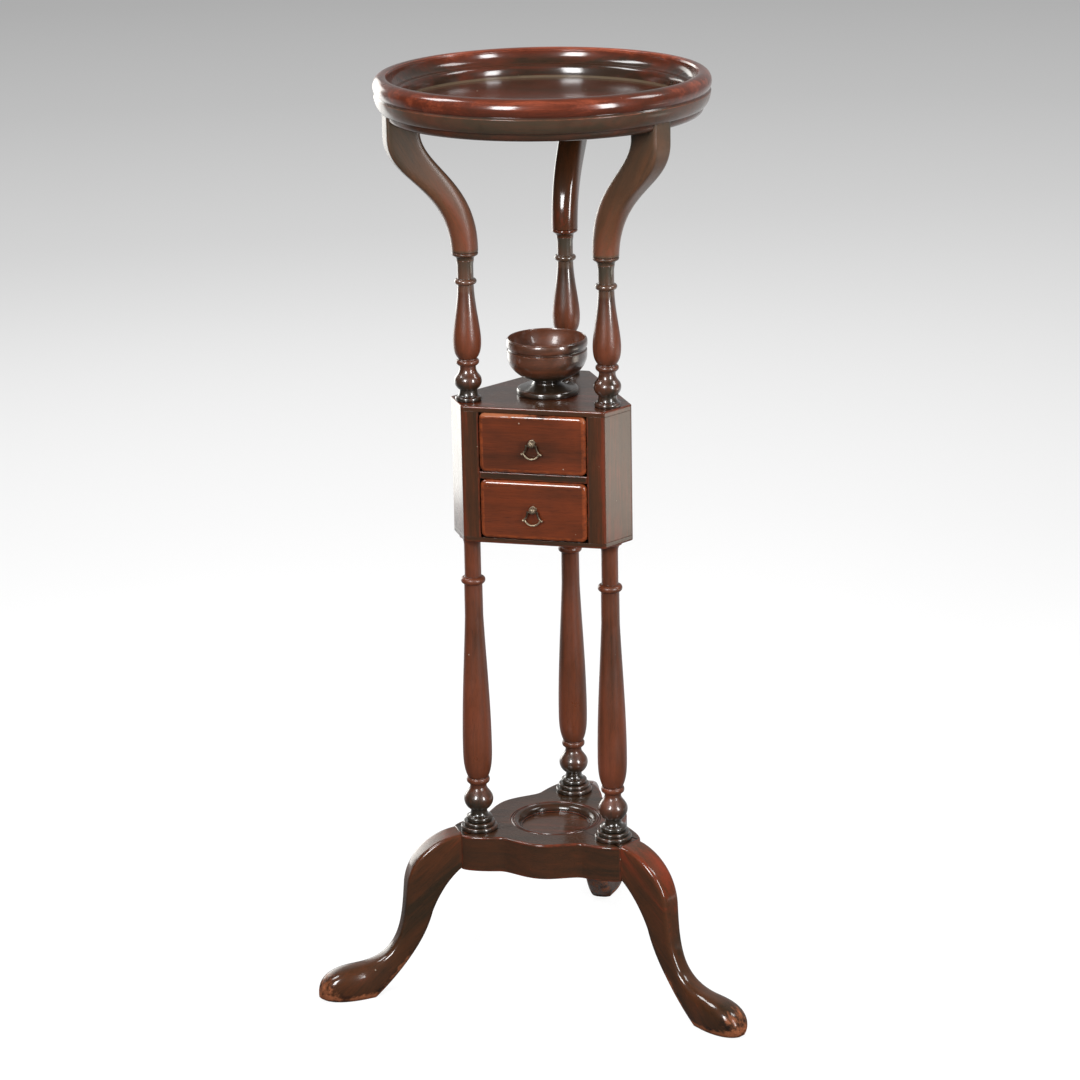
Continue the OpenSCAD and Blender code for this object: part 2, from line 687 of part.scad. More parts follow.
// Dovetails of one drawer side, as drawn in the Y-Z plane
module tails(clear) {
  usable = front_h - drawer_floor_up - 2;
  for (i = [0, 1]) {
    middle = drawer_floor_up + 1 + usable * (0.25 + 0.5 * i);
    root = tail_w / 2 - tail_flare + clear;
    tip = tail_w / 2 + clear;
    polygon([[1, middle - root], [1, middle + root], [0, middle + root], [-tail_l - clear, middle + tip],
             [-tail_l - clear, middle - tip], [0, middle - root]]);
  }
}

// Places a shape drawn in the Y-Z plane as a plate of thickness t from x
module side_plate(x, t) {
  translate([x, 0, 0]) rotate([90, 0, 90]) linear_extrude(t) children();
}

// Drawer front with rounded edges, dovetail sockets, a groove and a hole for the pull
module drawer_front(opening_z) {
  z = opening_z + drawer_lift;
  color(DRAWER_RED) difference() {
    intersection() {
      translate([0, front_y + front_t, z + front_h / 2]) rotate([90, 0, 0])
        linear_extrude(front_t) polygon(round_rect(drawer_w, front_h, front_corner_r));
      translate([0, front_y + front_t, z - 1]) linear_extrude(front_h + 2)
        polygon(round_rect(drawer_w, 2 * front_t, front_edge_r));
      translate([-drawer_w, 0, 0]) rotate([90, 0, 90]) translate([front_y + front_t, z + front_h / 2])
        linear_extrude(2 * drawer_w) polygon(round_rect(2 * front_t, front_h, front_edge_r));
    }
    for (side = [-1, 1]) translate([0, front_back_y, z])
      side_plate(side > 0 ? drawer_w / 2 - drawer_side_t - glue : -drawer_w / 2 - 1, drawer_side_t + 1 + glue)
        tails(glue);
    translate([-drawer_w / 2 + drawer_side_t - groove_d, front_back_y - groove_d - glue,
               z + drawer_bottom_up - glue])
      cube([drawer_w - 2 * (drawer_side_t - groove_d), groove_d + glue + 1, drawer_bottom_t + 2 * glue]);
    translate([0, front_y - 1, pull_z(opening_z) + head_up]) rotate([-90, 0, 0])
      cylinder(h = front_t + 2, r = shank_r + glue);
  }
}

// Drawer side with dovetails at the front and a groove for the bottom
module drawer_side(opening_z, side) {
  z = opening_z + drawer_lift;
  inner_x = side * (drawer_w / 2 - drawer_side_t);
  color(PALE_WOOD) difference() {
    translate([0, front_back_y, z])
      side_plate(side > 0 ? drawer_w / 2 - drawer_side_t : -drawer_w / 2, drawer_side_t) union() {
        square([drawer_back_y - front_back_y, front_h - 1]);
        tails(0);
      }
    translate([inner_x - groove_d - glue, front_back_y - tail_l - 1, z + drawer_bottom_up - glue])
      cube([2 * (groove_d + glue), drawer_depth + 20, drawer_bottom_t + 2 * glue]);
  }
}

module drawer_back(opening_z) {
  z = opening_z + drawer_lift + drawer_floor_up + glue;
  width = drawer_w - 2 * drawer_side_t;
  color(PALE_WOOD) translate([-width / 2, drawer_back_y - drawer_side_t, z])
    cube([width, drawer_side_t, front_h - 1 - drawer_floor_up - back_drop]);
}

module drawer_bottom(opening_z) {
  z = opening_z + drawer_lift + drawer_bottom_up;
  width = drawer_w - 2 * (drawer_side_t - groove_d) - 2 * glue;
  color(PALE_WOOD) translate([-width / 2, front_back_y - groove_d, z])
    cube([width, drawer_back_y - front_back_y + groove_d, drawer_bottom_t]);
}

// Height of a pull's pivot on the drawer in the given opening
function pull_z(opening_z) = opening_z + drawer_lift + front_h / 2 + pull_up;

// Pull post: ball head with a hole for the bail's pins, neck, flange and a shank through the front
module pull_post(opening_z) {
  h = pull_head_r;
  profile = concat(
    [for (i = [0:10]) [h * sin(14 * i), -h * cos(14 * i)]],
    [[shank_r + 0.5, pull_reach - 0.8], [shank_r + 1.6, pull_reach - 0.8], [shank_r + 1.6, pull_reach],
     [shank_r, pull_reach], [shank_r, pull_reach + front_t + nut_t], [0, pull_reach + front_t + nut_t]]);
  color(BRASS) translate([0, pull_y, pull_z(opening_z)]) difference() {
    translate([0, 0, head_up]) rotate([-90, 0, 0]) rotate_extrude() polygon(profile);
    translate([-h - 1, 0, 0]) rotate([0, 90, 0]) cylinder(h = 2 * h + 2, r = pin_r + pin_clear);
  }
}

module pull_nut(opening_z) {
  color(BRASS) translate([0, front_back_y, pull_z(opening_z) + head_up]) rotate([-90, 0, 0]) difference() {
    cylinder(h = nut_t, r = 2 * shank_r + 0.6, $fn = 6);
    translate([0, 0, -1]) cylinder(h = nut_t + 2, r = shank_r + 0.02);
  }
}

// Part of a ring of wire in the X-Z plane, round the origin
module wire_arc(radius, wire, from, sweep) {
  rotate([90, 0, 0]) rotate([0, 0, from]) rotate_extrude(angle = sweep)
    translate([radius, 0]) circle(r = wire, $fn = 32);
}

// Bail: pivot balls with pins, two flaring arms and a crescent, hanging straight down
module bail(opening_z) {
  tip = [ball_x + bail_arm_r * (1 - cos(bail_arm_turn)), 0, -bail_arm_r * sin(bail_arm_turn)];
  color(BRASS) translate([0, pull_y, pull_z(opening_z)]) union() {
    for (side = [0, 1]) mirror([side, 0, 0]) {
      translate([ball_x, 0, 0]) sphere(r = ball_r, $fn = 48);
      translate([ball_x - ball_r - pin_l, 0, 0]) rotate([0, 90, 0]) cylinder(h = pin_l + ball_r, r = pin_r);
      translate([ball_x + bail_arm_r, 0, 0]) wire_arc(bail_arm_r, bail_r, 180, bail_arm_turn);
      translate(tip) sphere(r = bail_tip_r, $fn = 32);
    }
    translate([0, 0, -bail_bow_drop]) wire_arc(bail_bow_r, bail_r, 270 - bail_bow_span / 2, bail_bow_span);
  }
}

// Outline of the platform from the middle of one side to the next arm, as [tangential, outward]
function platform_edge() =
  let (corner = [arm_r * sin(60) - leg_w / 2 * cos(60), arm_r * cos(60) + leg_w / 2 * sin(60)],
       waist = [waist_v, waist_r])
  concat(
    curve([corner, corner + [-7, 4], waist + [13, 3], waist]),
    curve([waist, waist + [-9, -2], [16, bow_r], [0, bow_r]]));

module platform_plan() {
  half = platform_edge();
  n = len(half);
  side = concat(half, [[0, bow_r]], [for (i = [n - 1:-1:0]) [-half[i][0], half[i][1]]]);
  outline = [for (angle = [FRONT, RIGHT_SIDE, LEFT_SIDE], p = side) turn([p[1], -p[0]], angle)];
  translate([0, axis_y]) polygon(outline);
}

// Plan of the dovetail at the top of a leg, in the leg's own frame
module dovetail_plan(clear) {
  root = leg_w / 5 + clear;
  tip = leg_w / 5 + 2 + clear;
  polygon([[arm_r + 1, -root], [arm_r + 1, root], [arm_r, root], [arm_r - dovetail_l - clear, tip],
           [arm_r - dovetail_l - clear, -tip], [arm_r, -root]]);
}

// Platform with the moulded recess, bores for the posts and sockets for the legs
module platform() {
  recess = concat(
    [[0, -recess_depth], [recess_floor_r, -recess_depth], [recess_floor_r, 1.3 - recess_depth],
     [recess_floor_r + 1.4, 1.3 - recess_depth]],
    [for (i = [1:6]) [recess_floor_r + 1.4 + (recess_r - recess_floor_r - 1.4) * (1 - cos(15 * i)),
      (1.3 - recess_depth) * (1 - sin(15 * i))]],
    [[recess_r, 1], [0, 1]]);
  color(RED_BROWN) difference() {
    translate([0, 0, platform_low]) linear_extrude(platform_t) platform_plan();
    translate([0, axis_y, platform_z]) rotate_extrude() polygon(recess);
    translate([0, axis_y, platform_z]) rotate_extrude()
      polygon([[scribe_r - 0.6, 0.2], [scribe_r, -0.6], [scribe_r + 0.6, 0.2]]);
    for (angle = [LEFT, RIGHT, REAR]) toward(angle) {
      translate([post_circle_r, 0, platform_z - lower_tenon_l - glue])
        cylinder(h = lower_tenon_l + 1 + glue, r = lower_tenon_r + glue);
      translate([0, 0, platform_low - 1]) linear_extrude(dovetail_h + 1 + glue) dovetail_plan(glue);
    }
  }
}

// Cabriole leg: knee, ankle and pad foot, cut flat at the floor, with its dovetail
module leg(angle) {
  knee = [knee_r, knee_z];
  instep = [(knee_r + toe_r) / 2 + 2, instep_z];
  hollow = [knee_r - knee_t, knee_z - 25];
  heel = [heel_r, -2];
  toe = [toe_r, 4];
  top_knee = [[arm_r, platform_z], [arm_r + 22, platform_z - 2], knee + [-2, 29], knee];
  top_ankle = [knee, knee + [3, -30], [knee_r + 4.5, instep_z + 3], instep];
  top_toe = [instep, instep + [19, -2], [toe_r, instep_z - 5], toe];
  low_knee = [[arm_r, platform_low], [arm_r + 11, platform_low - 8.5], hollow + [-6, 16], hollow];
  low_ankle = [hollow, hollow + [6, -23], [heel_r - 33, 28], heel];
  low_toe = [heel, heel + [16, -1], toe + [-18, -7], toe + [-4, -3]];
  spans = [[top_knee, low_knee], [top_ankle, low_ankle], [top_toe, low_toe]];
  steps = 8;
  nose_from = 2.35;
  nose_end = 3;
  sections = [for (j = [0:2], i = [0:(j < 2 ? steps - 1 : steps)])
    let (s = j + i / steps,
         nose = max(0, (s - nose_from) / (nose_end - nose_from)),
         upper = ease(leg_w / 2, ankle_w / 2, s / 1.5),
         lower = ease(ankle_w / 2, foot_w / 2, (s - 1.5) / 0.85),
         half = s < 1.5 ? upper : lower)
    [curve_point(spans[j][0], i / steps), curve_point(spans[j][1], i / steps),
     half * sqrt(max(0.02, 1 - nose * nose)), 2.6 + 6.2 * pow(max(0, 1 - s / 1.8), 1.5)]];
  below = 20;
  color(DARK_BROWN) toward(angle) difference() {
    union() {
      carved(sections);
      translate([0, 0, platform_low]) linear_extrude(dovetail_h) dovetail_plan(0);
    }
    translate([0, -foot_w, -below]) cube([2 * toe_r, 2 * foot_w, below]);
  }
}

basin_ring();
basin_floor();
scroll_bracket(LEFT);  // scroll_bracket_left
scroll_bracket(RIGHT);  // scroll_bracket_right
scroll_bracket(REAR);  // scroll_bracket_rear
upper_post(LEFT);  // upper_post_left
upper_post(RIGHT);  // upper_post_right
upper_post(REAR);  // upper_post_rear
soap_bowl();
cabinet_top();
cabinet_bottom();
corner_stile(LEFT);  // corner_stile_left
corner_stile(RIGHT);  // corner_stile_right
corner_stile(REAR);  // corner_stile_rear
side_panel(LEFT_SIDE);  // side_panel_left
side_panel(RIGHT_SIDE);  // side_panel_right
drawer_rail();
dustboard();
drawer_stops(upper_opening_z);  // upper_drawer_stops
drawer_stops(lower_opening_z);  // lower_drawer_stops
drawer_front(upper_opening_z);  // upper_drawer_front
drawer_side(upper_opening_z, -1);  // upper_drawer_side_left
drawer_side(upper_opening_z, 1);  // upper_drawer_side_right
drawer_back(upper_opening_z);  // upper_drawer_back
drawer_bottom(upper_opening_z);  // upper_drawer_bottom
pull_post(upper_opening_z);  // upper_pull_post
pull_nut(upper_opening_z);  // upper_pull_nut
bail(upper_opening_z);  // upper_bail
drawer_front(lower_opening_z);  // lower_drawer_front
drawer_side(lower_opening_z, -1);  // lower_drawer_side_left
drawer_side(lower_opening_z, 1);  // lower_drawer_side_right
drawer_back(lower_opening_z);  // lower_drawer_back
drawer_bottom(lower_opening_z);  // lower_drawer_bottom
pull_post(lower_opening_z);  // lower_pull_post
pull_nut(lower_opening_z);  // lower_pull_nut
bail(lower_opening_z);  // lower_bail
lower_post(LEFT);  // lower_post_left
lower_post(RIGHT);  // lower_post_right
lower_post(REAR);  // lower_post_rear
platform();
leg(LEFT);  // leg_left
leg(RIGHT);  // leg_right
leg(REAR);  // leg_rear
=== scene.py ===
"""Washstand in dark lacquered mahogany: its visible pieces, finishes, studio and camera.

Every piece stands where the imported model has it. Shapes are worked out in millimetres and
become metres when a mesh is made.
"""
from itertools import count
from math import acos, atan2, copysign, cos, degrees, exp, hypot, pi, radians, sin, sqrt, tan

import bmesh
import bpy
import numpy as np
from mathutils import Matrix, Vector
from numpy import array, linspace, zeros
from numpy.linalg import norm, solve


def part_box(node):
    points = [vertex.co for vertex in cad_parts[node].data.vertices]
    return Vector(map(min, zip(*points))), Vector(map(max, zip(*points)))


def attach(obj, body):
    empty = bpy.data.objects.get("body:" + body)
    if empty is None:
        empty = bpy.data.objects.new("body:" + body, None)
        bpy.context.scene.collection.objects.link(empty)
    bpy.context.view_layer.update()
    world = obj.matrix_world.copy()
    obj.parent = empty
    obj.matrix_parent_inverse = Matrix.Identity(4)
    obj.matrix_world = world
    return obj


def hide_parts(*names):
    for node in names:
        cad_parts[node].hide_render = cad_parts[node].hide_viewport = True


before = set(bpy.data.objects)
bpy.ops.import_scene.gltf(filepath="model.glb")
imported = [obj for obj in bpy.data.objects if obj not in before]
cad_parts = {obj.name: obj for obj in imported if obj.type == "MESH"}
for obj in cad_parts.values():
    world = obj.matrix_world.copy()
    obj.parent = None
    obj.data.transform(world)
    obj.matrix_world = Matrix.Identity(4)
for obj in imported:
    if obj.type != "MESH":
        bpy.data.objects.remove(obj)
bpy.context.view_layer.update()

MM = 0.001


def box_mm(node):
    """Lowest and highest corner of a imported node, in millimetres."""
    low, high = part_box(node)
    return array(low) / MM, array(high) / MM


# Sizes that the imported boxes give
RING_LOW, RING_HIGH = box_mm("basin_ring")
AXIS_Y = (RING_LOW[1] + RING_HIGH[1]) / 2
RING_R = (RING_HIGH[0] - RING_LOW[0]) / 2
TOE_R = box_mm("leg_rear")[1][1] - AXIS_Y
PLATFORM_BASE, PLATFORM_Z = (corner[2] for corner in box_mm("platform"))
CABINET_LOW = box_mm("cabinet_bottom")[0][2]
CABINET_HIGH = box_mm("cabinet_top")[1][2]
BOARD_T = CABINET_HIGH - box_mm("cabinet_top")[0][2]
BRACKET_LOW = box_mm("scroll_bracket_rear")[0][2]
FASCIA_Z, FLOOR_Z = (corner[2] for corner in box_mm("basin_floor"))
RAIL_LOW, RAIL_HIGH = box_mm("drawer_rail")

# Sizes of the construction, as its source has them
POST_CIRCLE_R = 70
CABINET_A = 56
CORNER_A = 81.4
CORNER_HALF = (2 * CABINET_A - CORNER_A) * tan(radians(30))
STILE_W = 14.8
STILE_D = 12
PANEL_T = 6
ARM_R = 90
BOW_R = 64.5
WAIST_R = 55
WAIST_V = 38
RECESS_R = 37
RECESS_FLOOR_R = 30
RECESS_DEPTH = 6.5
SCRIBE_R = 39.8
LEG_W = 25
ANKLE_W = 17
FOOT_W = 30
KNEE_R = 139
KNEE_T = 23
KNEE_Z = 99
INSTEP_Z = 31
HEEL_R = 170
UPPER_SHAFT_R = 6.9
BRACKET_OUT_R = 135.9
BRACKET_HEAD_D = 28.5
BRACKET_W = 20.5
BRACKET_FOOT_R = 11.3
COLLAR_H = 7.5
RIM_W = 7.8
RIM_H = 8.8
FASCIA_H = 19.2
FASCIA_R = 136.2
FASCIA_SWELL = 4.4
FASCIA_RISE = 11.8
UNDER_R = 134.5
LIP_R = 110
WELL_R = 117.8
BALL_R = 1.0
BALL_GAP = 0.1
PIN_R = 0.65
PIN_L = 2.4
BAIL_R = 0.8
BAIL_TIP_R = 1.1
BAIL_ARM_R = 9
BAIL_ARM_TURN = 55
BAIL_BOW_R = 7.2
BAIL_BOW_DROP = 4.4
BAIL_BOW_SPAN = 148
FLUTES = 12

LEFT, RIGHT, REAR, FRONT = 210, 330, 90, 270
LEFT_SIDE, RIGHT_SIDE = 150, 30
CORNERS = {"left": LEFT, "right": RIGHT, "rear": REAR}
STOREYS = ("upper", "lower")


def turned(p, angle):
    """A plan point turned about the stand's axis."""
    c, s = cos(radians(angle)), sin(radians(angle))
    return (p[0] * c - p[1] * s, p[0] * s + p[1] * c + AXIS_Y)


def post_centre(angle):
    return turned((POST_CIRCLE_R, 0), angle)


def slope(reach, rise, angle):
    """Direction that leads outwards at a corner by reach and upwards by rise."""
    x, y = turned((reach, 0), angle)
    return (x, y - AXIS_Y, rise)


def share(value):
    """A value kept between 0 and 1."""
    return min(1, max(0, value))


def from_axis(p):
    """How far a point lies from the stand's axis."""
    return hypot(p[0], p[1] - AXIS_Y)


def curve_point(p, t):
    """Point at t along a cubic curve with four control points."""
    a, b, c, d = (array(q, float) for q in p)
    return a * (1 - t) ** 3 + 3 * b * t * (1 - t) ** 2 + 3 * c * t * t * (1 - t) + d * t ** 3


def curve(p, n=24):
    """Points along a cubic curve, without its last point."""
    return [tuple(curve_point(p, i / n)) for i in range(n)]


def quarter(n):
    """Angles from 0 to a quarter turn, in n steps."""
    return linspace(0, pi / 2, n + 1)


def bead(r, dr, low, high, n=16):
    """Round bead that stands dr proud of radius r between two heights."""
    middle, half = (low + high) / 2, (high - low) / 2
    return [(r + dr * sin(a), middle - half * cos(a)) for a in linspace(0, pi, n + 1)]


def cove(a, b):
    """Hollow quarter curve from one profile point to the next."""
    return [(a[0] + (b[0] - a[0]) * sin(t), b[1] + (a[1] - b[1]) * cos(t)) for t in quarter(12)]


def flare(a, b):
    """Quarter curve that leaves one profile point upright and reaches the next one level."""
    return [(b[0] + (a[0] - b[0]) * cos(t), a[1] + (b[1] - a[1]) * sin(t)) for t in quarter(12)]


def unit(v):
    return v / norm(v)


def ease(a, b, t):
    """Smooth change from a to b as t goes from 0 to 1."""
    return a + (b - a) * (1 - cos(pi * share(t))) / 2


def soften(points, radius=0.3, least_turn=16, steps=4):
    """Rounds the creases of a profile, with a support point on each side of every one."""
    out = [points[0]]
    for a, b, c in zip(points, points[1:], points[2:]):
        a, b, c = (array(p, float) for p in (a, b, c))
        before, after = b - a, c - b
        la, lc = norm(before), norm(after)
        if la < 1e-6 or lc < 1e-6:
            continue
        before, after = before / la, after / lc
        turn = acos(max(-1, min(1, float(before @ after))))
        if degrees(turn) < least_turn:
            out.append(tuple(b))
            continue
        d = min(radius * tan(turn / 2), 0.4 * la, 0.4 * lc)
        if la > 6 * d:
            out.append(tuple(b - before * 2.5 * d))
        for i in range(steps + 1):
            t = i / steps
            out.append(tuple((b - before * d) * (1 - t) ** 2 + 2 * b * t * (1 - t) + (b + after * d) * t * t))
        if lc > 6 * d:
            out.append(tuple(b + after * 2.5 * d))
    out.append(points[-1])
    return out


# Mesh parts are pairs of points in millimetres and faces

def lathe(profile, centre, segments):
    """Turned solid from (radius, height) points, about an upright axis at centre."""
    points, faces, rings = [], [], []
    for r, z in profile:
        if r < 1e-6:
            rings.append([len(points)] * segments)
            points.append((centre[0], centre[1], z))
            continue
        rings.append(list(range(len(points), len(points) + segments)))
        for k in range(segments):
            a = 2 * pi * k / segments
            points.append((centre[0] + r * cos(a), centre[1] + r * sin(a), z))
    for low, high in zip(rings, rings[1:]):
        for k in range(segments):
            n = (k + 1) % segments
            corners = list(dict.fromkeys((low[k], low[n], high[n], high[k])))
            if len(corners) > 2:
                faces.append(corners)
    return points, faces


def skin(rings):
    """Skin over rings of equally many points, closed by a face at each end."""
    n = len(rings[0])
    points = [tuple(p) for ring in rings for p in ring]
    faces = [[i * n + k, i * n + (k + 1) % n, (i + 1) * n + (k + 1) % n, (i + 1) * n + k]
            for i in range(len(rings) - 1) for k in range(n)]
    faces.append(list(range(n - 1, -1, -1)))
    faces.append([(len(rings) - 1) * n + k for k in range(n)])
    return points, faces


def ball(centre, radius, segments=32, rings=16):
    profile = [(radius * sin(a), centre[2] - radius * cos(a)) for a in linspace(0, pi, rings + 1)]
    return lathe(profile, centre, segments)


def tube(path, radii, sides=20):
    """Round bar along a path in the X-Z plane, with a radius at each point."""
    path = [array(p, float) for p in path]
    turns = [2 * pi * k / sides for k in range(sides)]
    depth = array([0, 1, 0])
    rings = []
    for i, p in enumerate(path):
        ahead = unit(path[min(i + 1, len(path) - 1)] - path[max(i - 1, 0)])
        across = array([-ahead[2], 0, ahead[0]])
        rings.append([p + radii[i] * (cos(a) * across + sin(a) * depth) for a in turns])
    return skin(rings)


def together(*parts):
    points, faces = [], []
    for p, f in parts:
        faces += [[i + len(points) for i in face] for face in f]
        points += list(p)
    return points, faces


def facing(d):
    """Outward direction of an edge of an outline that is drawn anticlockwise."""
    d = unit(d)
    return array([d[1], -d[0]])


def rounded(polygon, radii, inset, steps=6, support=0.8):
    """Convex anticlockwise outline with round corners and support points, drawn in by inset."""
    n = len(polygon)
    pts = [array(p, float) for p in polygon]
    radii = np.broadcast_to(radii, n)
    normals = [facing(pts[(i + 1) % n] - pts[i]) for i in range(n)]
    out = []
    for i in range(n):
        before, after = normals[i - 1], normals[i]
        arc = max(radii[i] - inset, 0.02)
        draw = inset + arc
        centre = solve(array([before, after]), array([before @ pts[i] - draw, after @ pts[i] - draw]))
        a0 = atan2(before[1], before[0])
        sweep = (atan2(after[1], after[0]) - a0) % (2 * pi)
        along_before = array([-before[1], before[0]])
        along_after = array([-after[1], after[0]])
        out.append(centre + arc * before - along_before * support)
        for k in range(steps + 1):
            a = a0 + sweep * k / steps
            out.append(centre + arc * array([cos(a), sin(a)]))
        out.append(centre + arc * after + along_after * support)
    return out


def upright(u, v, w):
    """Stands a slab's outline upright."""
    return (u, w, v)


def slab(polygon, low, high, corner, edge_low, edge_high, place=lambda u, v, w: (u, v, w), steps=5):
    """Board with a convex outline and rounded edges at its low and high faces."""
    levels = [(edge_low + 5, low), (edge_low + 0.9, low)]
    levels += [(edge_low * (1 - sin(a)), low + edge_low * (1 - cos(a))) for a in quarter(steps)]
    levels += [(0, low + edge_low + 0.8), (0, high - edge_high - 0.8)]
    levels += [(edge_high * (1 - cos(a)), high - edge_high * (1 - sin(a))) for a in quarter(steps)]
    levels += [(edge_high + 0.9, high), (edge_high + 5, high)]
    spans = [norm(array(polygon[i]) - array(polygon[i - 1])) for i in range(len(polygon))]
    deepest = min(spans) / 2 - 1.2
    return skin([[place(p[0], p[1], w) for p in rounded(polygon, corner, min(inset, deepest))]
            for inset, w in levels])


def placed(name, data):
    obj = bpy.data.objects.new(name, data)
    bpy.context.scene.collection.objects.link(obj)
    return obj


def read(collection, key, width, kind=float):
    """A property of a collection's items, as rows of numbers."""
    values = zeros(len(collection) * width, kind)
    collection.foreach_get(key, values)
    return values.reshape(-1, width)


def surface_signs(mesh):
    """How sharply each point of a mesh turns, in 1/mm: above 0 on an edge, below 0 in a hollow."""
    co = read(mesh.vertices, "co", 3) / MM
    no = read(mesh.vertex_normals, "vector", 3)
    a, b = read(mesh.edges, "vertices", 2, np.int64).T
    d = co[b] - co[a]
    turn = np.einsum("ij,ij->i", no[b] - no[a], d) / np.maximum(np.einsum("ij,ij->i", d, d), 1e-4)
    sharp, hollow = zeros(len(co)), zeros(len(co))
    for ends in (a, b):
        np.maximum.at(sharp, ends, turn)
        np.minimum.at(hollow, ends, turn)
    return np.where(sharp > -hollow, sharp, hollow)


CREASE = radians(35)
SEAM_REACH = 0.6
seeds = count(1)


def piece(name, part, node, finish, grain=(0, 0, 1), tone=0.5, wear=0.0, seams=(), body="stand"):
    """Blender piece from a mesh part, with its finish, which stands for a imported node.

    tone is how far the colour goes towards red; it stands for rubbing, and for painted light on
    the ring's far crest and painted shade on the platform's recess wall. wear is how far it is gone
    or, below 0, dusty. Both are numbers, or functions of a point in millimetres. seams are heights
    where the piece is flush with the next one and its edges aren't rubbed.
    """
    points, faces = part
    mesh = bpy.data.meshes.new(name)
    mesh.from_pydata([tuple(float(c) * MM for c in p) for p in points], [], faces)
    bm = bmesh.new()
    bm.from_mesh(mesh)
    bmesh.ops.remove_doubles(bm, verts=bm.verts, dist=1e-7)
    bmesh.ops.recalc_face_normals(bm, faces=bm.faces)
    bm.to_mesh(mesh)
    bm.free()
    mesh.shade_smooth()
    mesh.set_sharp_from_angle(angle=CREASE)
    obj = placed(name, mesh)
    dress(mesh, grain, tone, wear, seams)
    material, slot = finish
    mesh.materials.append(material)
    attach(obj, body)
    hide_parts(node)


def dress(mesh, grain, tone, wear, seams):
    """Writes the grain coordinates and the edge, tone and wear of each point of a mesh."""
    rng = np.random.default_rng(next(seeds))
    co = read(mesh.vertices, "co", 3)
    along = unit(array(grain, float))
    across = unit(np.cross(along, rng.normal(size=3)))
    basis = array([along, across, np.cross(along, across)])
    coords = (co @ basis.T + rng.uniform(-3, 3, size=3)).astype(np.float32)
    mesh.attributes.new("grain", "FLOAT_VECTOR", "POINT").data.foreach_set("vector", coords.ravel())
    signs = surface_signs(mesh)
    for seam in seams:
        signs[np.abs(co[:, 2] / MM - seam) < SEAM_REACH] = 0
    for key, value in {"edge": signs, "tone": tone, "wear": wear}.items():
        if callable(value):
            value = array([value(p) for p in co / MM])
        value = np.full(len(co), value, np.float32)
        mesh.attributes.new(key, "FLOAT", "POINT").data.foreach_set("value", value)


# Finishes

class Tree:
    """Short names for building the nodes of a material or of the world."""

    def __init__(self, owner, output="OutputMaterial"):
        owner.use_nodes = True
        self.nodes = owner.node_tree.nodes
        self.links = owner.node_tree.links
        self.nodes.clear()
        self.output = self.add(output)

    def add(self, kind, inputs=(), **settings):
        node = self.nodes.new("ShaderNode" + kind)
        for name, value in settings.items():
            setattr(node, name, value)
        self.fill(node, dict(inputs))
        return node

    def fill(self, node, inputs):
        """Links each input of a node to a socket, or sets it to a constant."""
        for key, value in inputs.items():
            if isinstance(value, bpy.types.NodeSocket):
                self.links.new(value, node.inputs[key])
            else:
                node.inputs[key].default_value = value

    def attribute(self, name, output="Fac"):
        return self.add("Attribute", attribute_name=name).outputs[output]

    def place(self, kind="Object"):
        return self.add("TexCoord").outputs[kind]

    def scaled(self, vector, by):
        return self.add("VectorMath", {0: vector, 1: by}, operation="MULTIPLY").outputs[0]

    def noise(self, vector, scale=1.0, detail=3.0, rough=0.5, distortion=0.0):
        inputs = {"Vector": vector, "Scale": scale, "Detail": detail, "Roughness": rough,
                "Distortion": distortion}
        return self.add("TexNoise", inputs).outputs["Fac"]

    def math(self, operation, a, b, clamp=False):
        return self.add("Math", {0: a, 1: b}, operation=operation, use_clamp=clamp).outputs[0]

    def plus(self, a, b, clamp=False):
        return self.math("ADD", a, b, clamp)

    def less(self, a, b, clamp=False):
        return self.math("SUBTRACT", a, b, clamp)

    def times(self, a, b):
        return self.math("MULTIPLY", a, b)

    def most(self, a, b):
        return self.math("MAXIMUM", a, b)

    def swing(self, noise, gain):
        """A noise's departure from its middle, times gain."""
        return self.times(self.less(noise, 0.5), gain)

    def spread(self, value, low, high, to_low=0.0, to_high=1.0):
        inputs = {"Value": value, "From Min": low, "From Max": high, "To Min": to_low, "To Max": to_high}
        return self.add("MapRange", inputs, clamp=True).outputs["Result"]

    def mix(self, share_of_b, a, b):
        return self.add("Mix", {0: share_of_b, 6: a, 7: b}, data_type="RGBA").outputs[2]

    def bump(self, height, distance, strength, under=None):
        inputs = {"Height": height, "Distance": distance, "Strength": strength}
        if under is not None:
            inputs["Normal"] = under
        return self.add("Bump", inputs).outputs[0]

    def closeness(self, distance):
        """0 in the open and 1 deep in a corner."""
        return self.less(1.0, self.add("AmbientOcclusion", {"Distance": distance}, samples=6).outputs["AO"])

    def along_y(self, vector, *limits):
        """How far along Y a vector reaches, spread between limits."""
        return self.spread(self.add("SeparateXYZ", {0: vector}).outputs["Y"], *limits)

    def ray_kinds(self):
        """Sockets that are 1 for the camera's rays, and 1 for mirrored and refracted ones."""
        rays = self.add("LightPath").outputs
        return rays["Is Camera Ray"], self.most(rays["Is Glossy Ray"], rays["Is Transmission Ray"])


def rgb(r, g, b):
    """Linear colour from the usual 0 to 255 numbers."""
    return (*((c / 255 / 12.92) if c <= 10 else ((c / 255 + 0.055) / 1.055) ** 2.4 for c in (r, g, b)), 1)


def new_finish(name):
    """A material, its tree and its shader."""
    material = bpy.data.materials.new(name)
    t = Tree(material)
    shader = t.add("BsdfPrincipled")
    t.fill(t.output, {0: shader.outputs[0]})
    return material, t, shader


# Noise scales per metre, along the grain and across it
STREAKS = (6, 150, 150)
FIBRES = (30, 1000, 1000)
BLOTCHES = (10, 26, 26)
PORES = (110, 3600, 3600)
RAGGED = (130, 260, 260)
HAZE = (30, 45, 45)

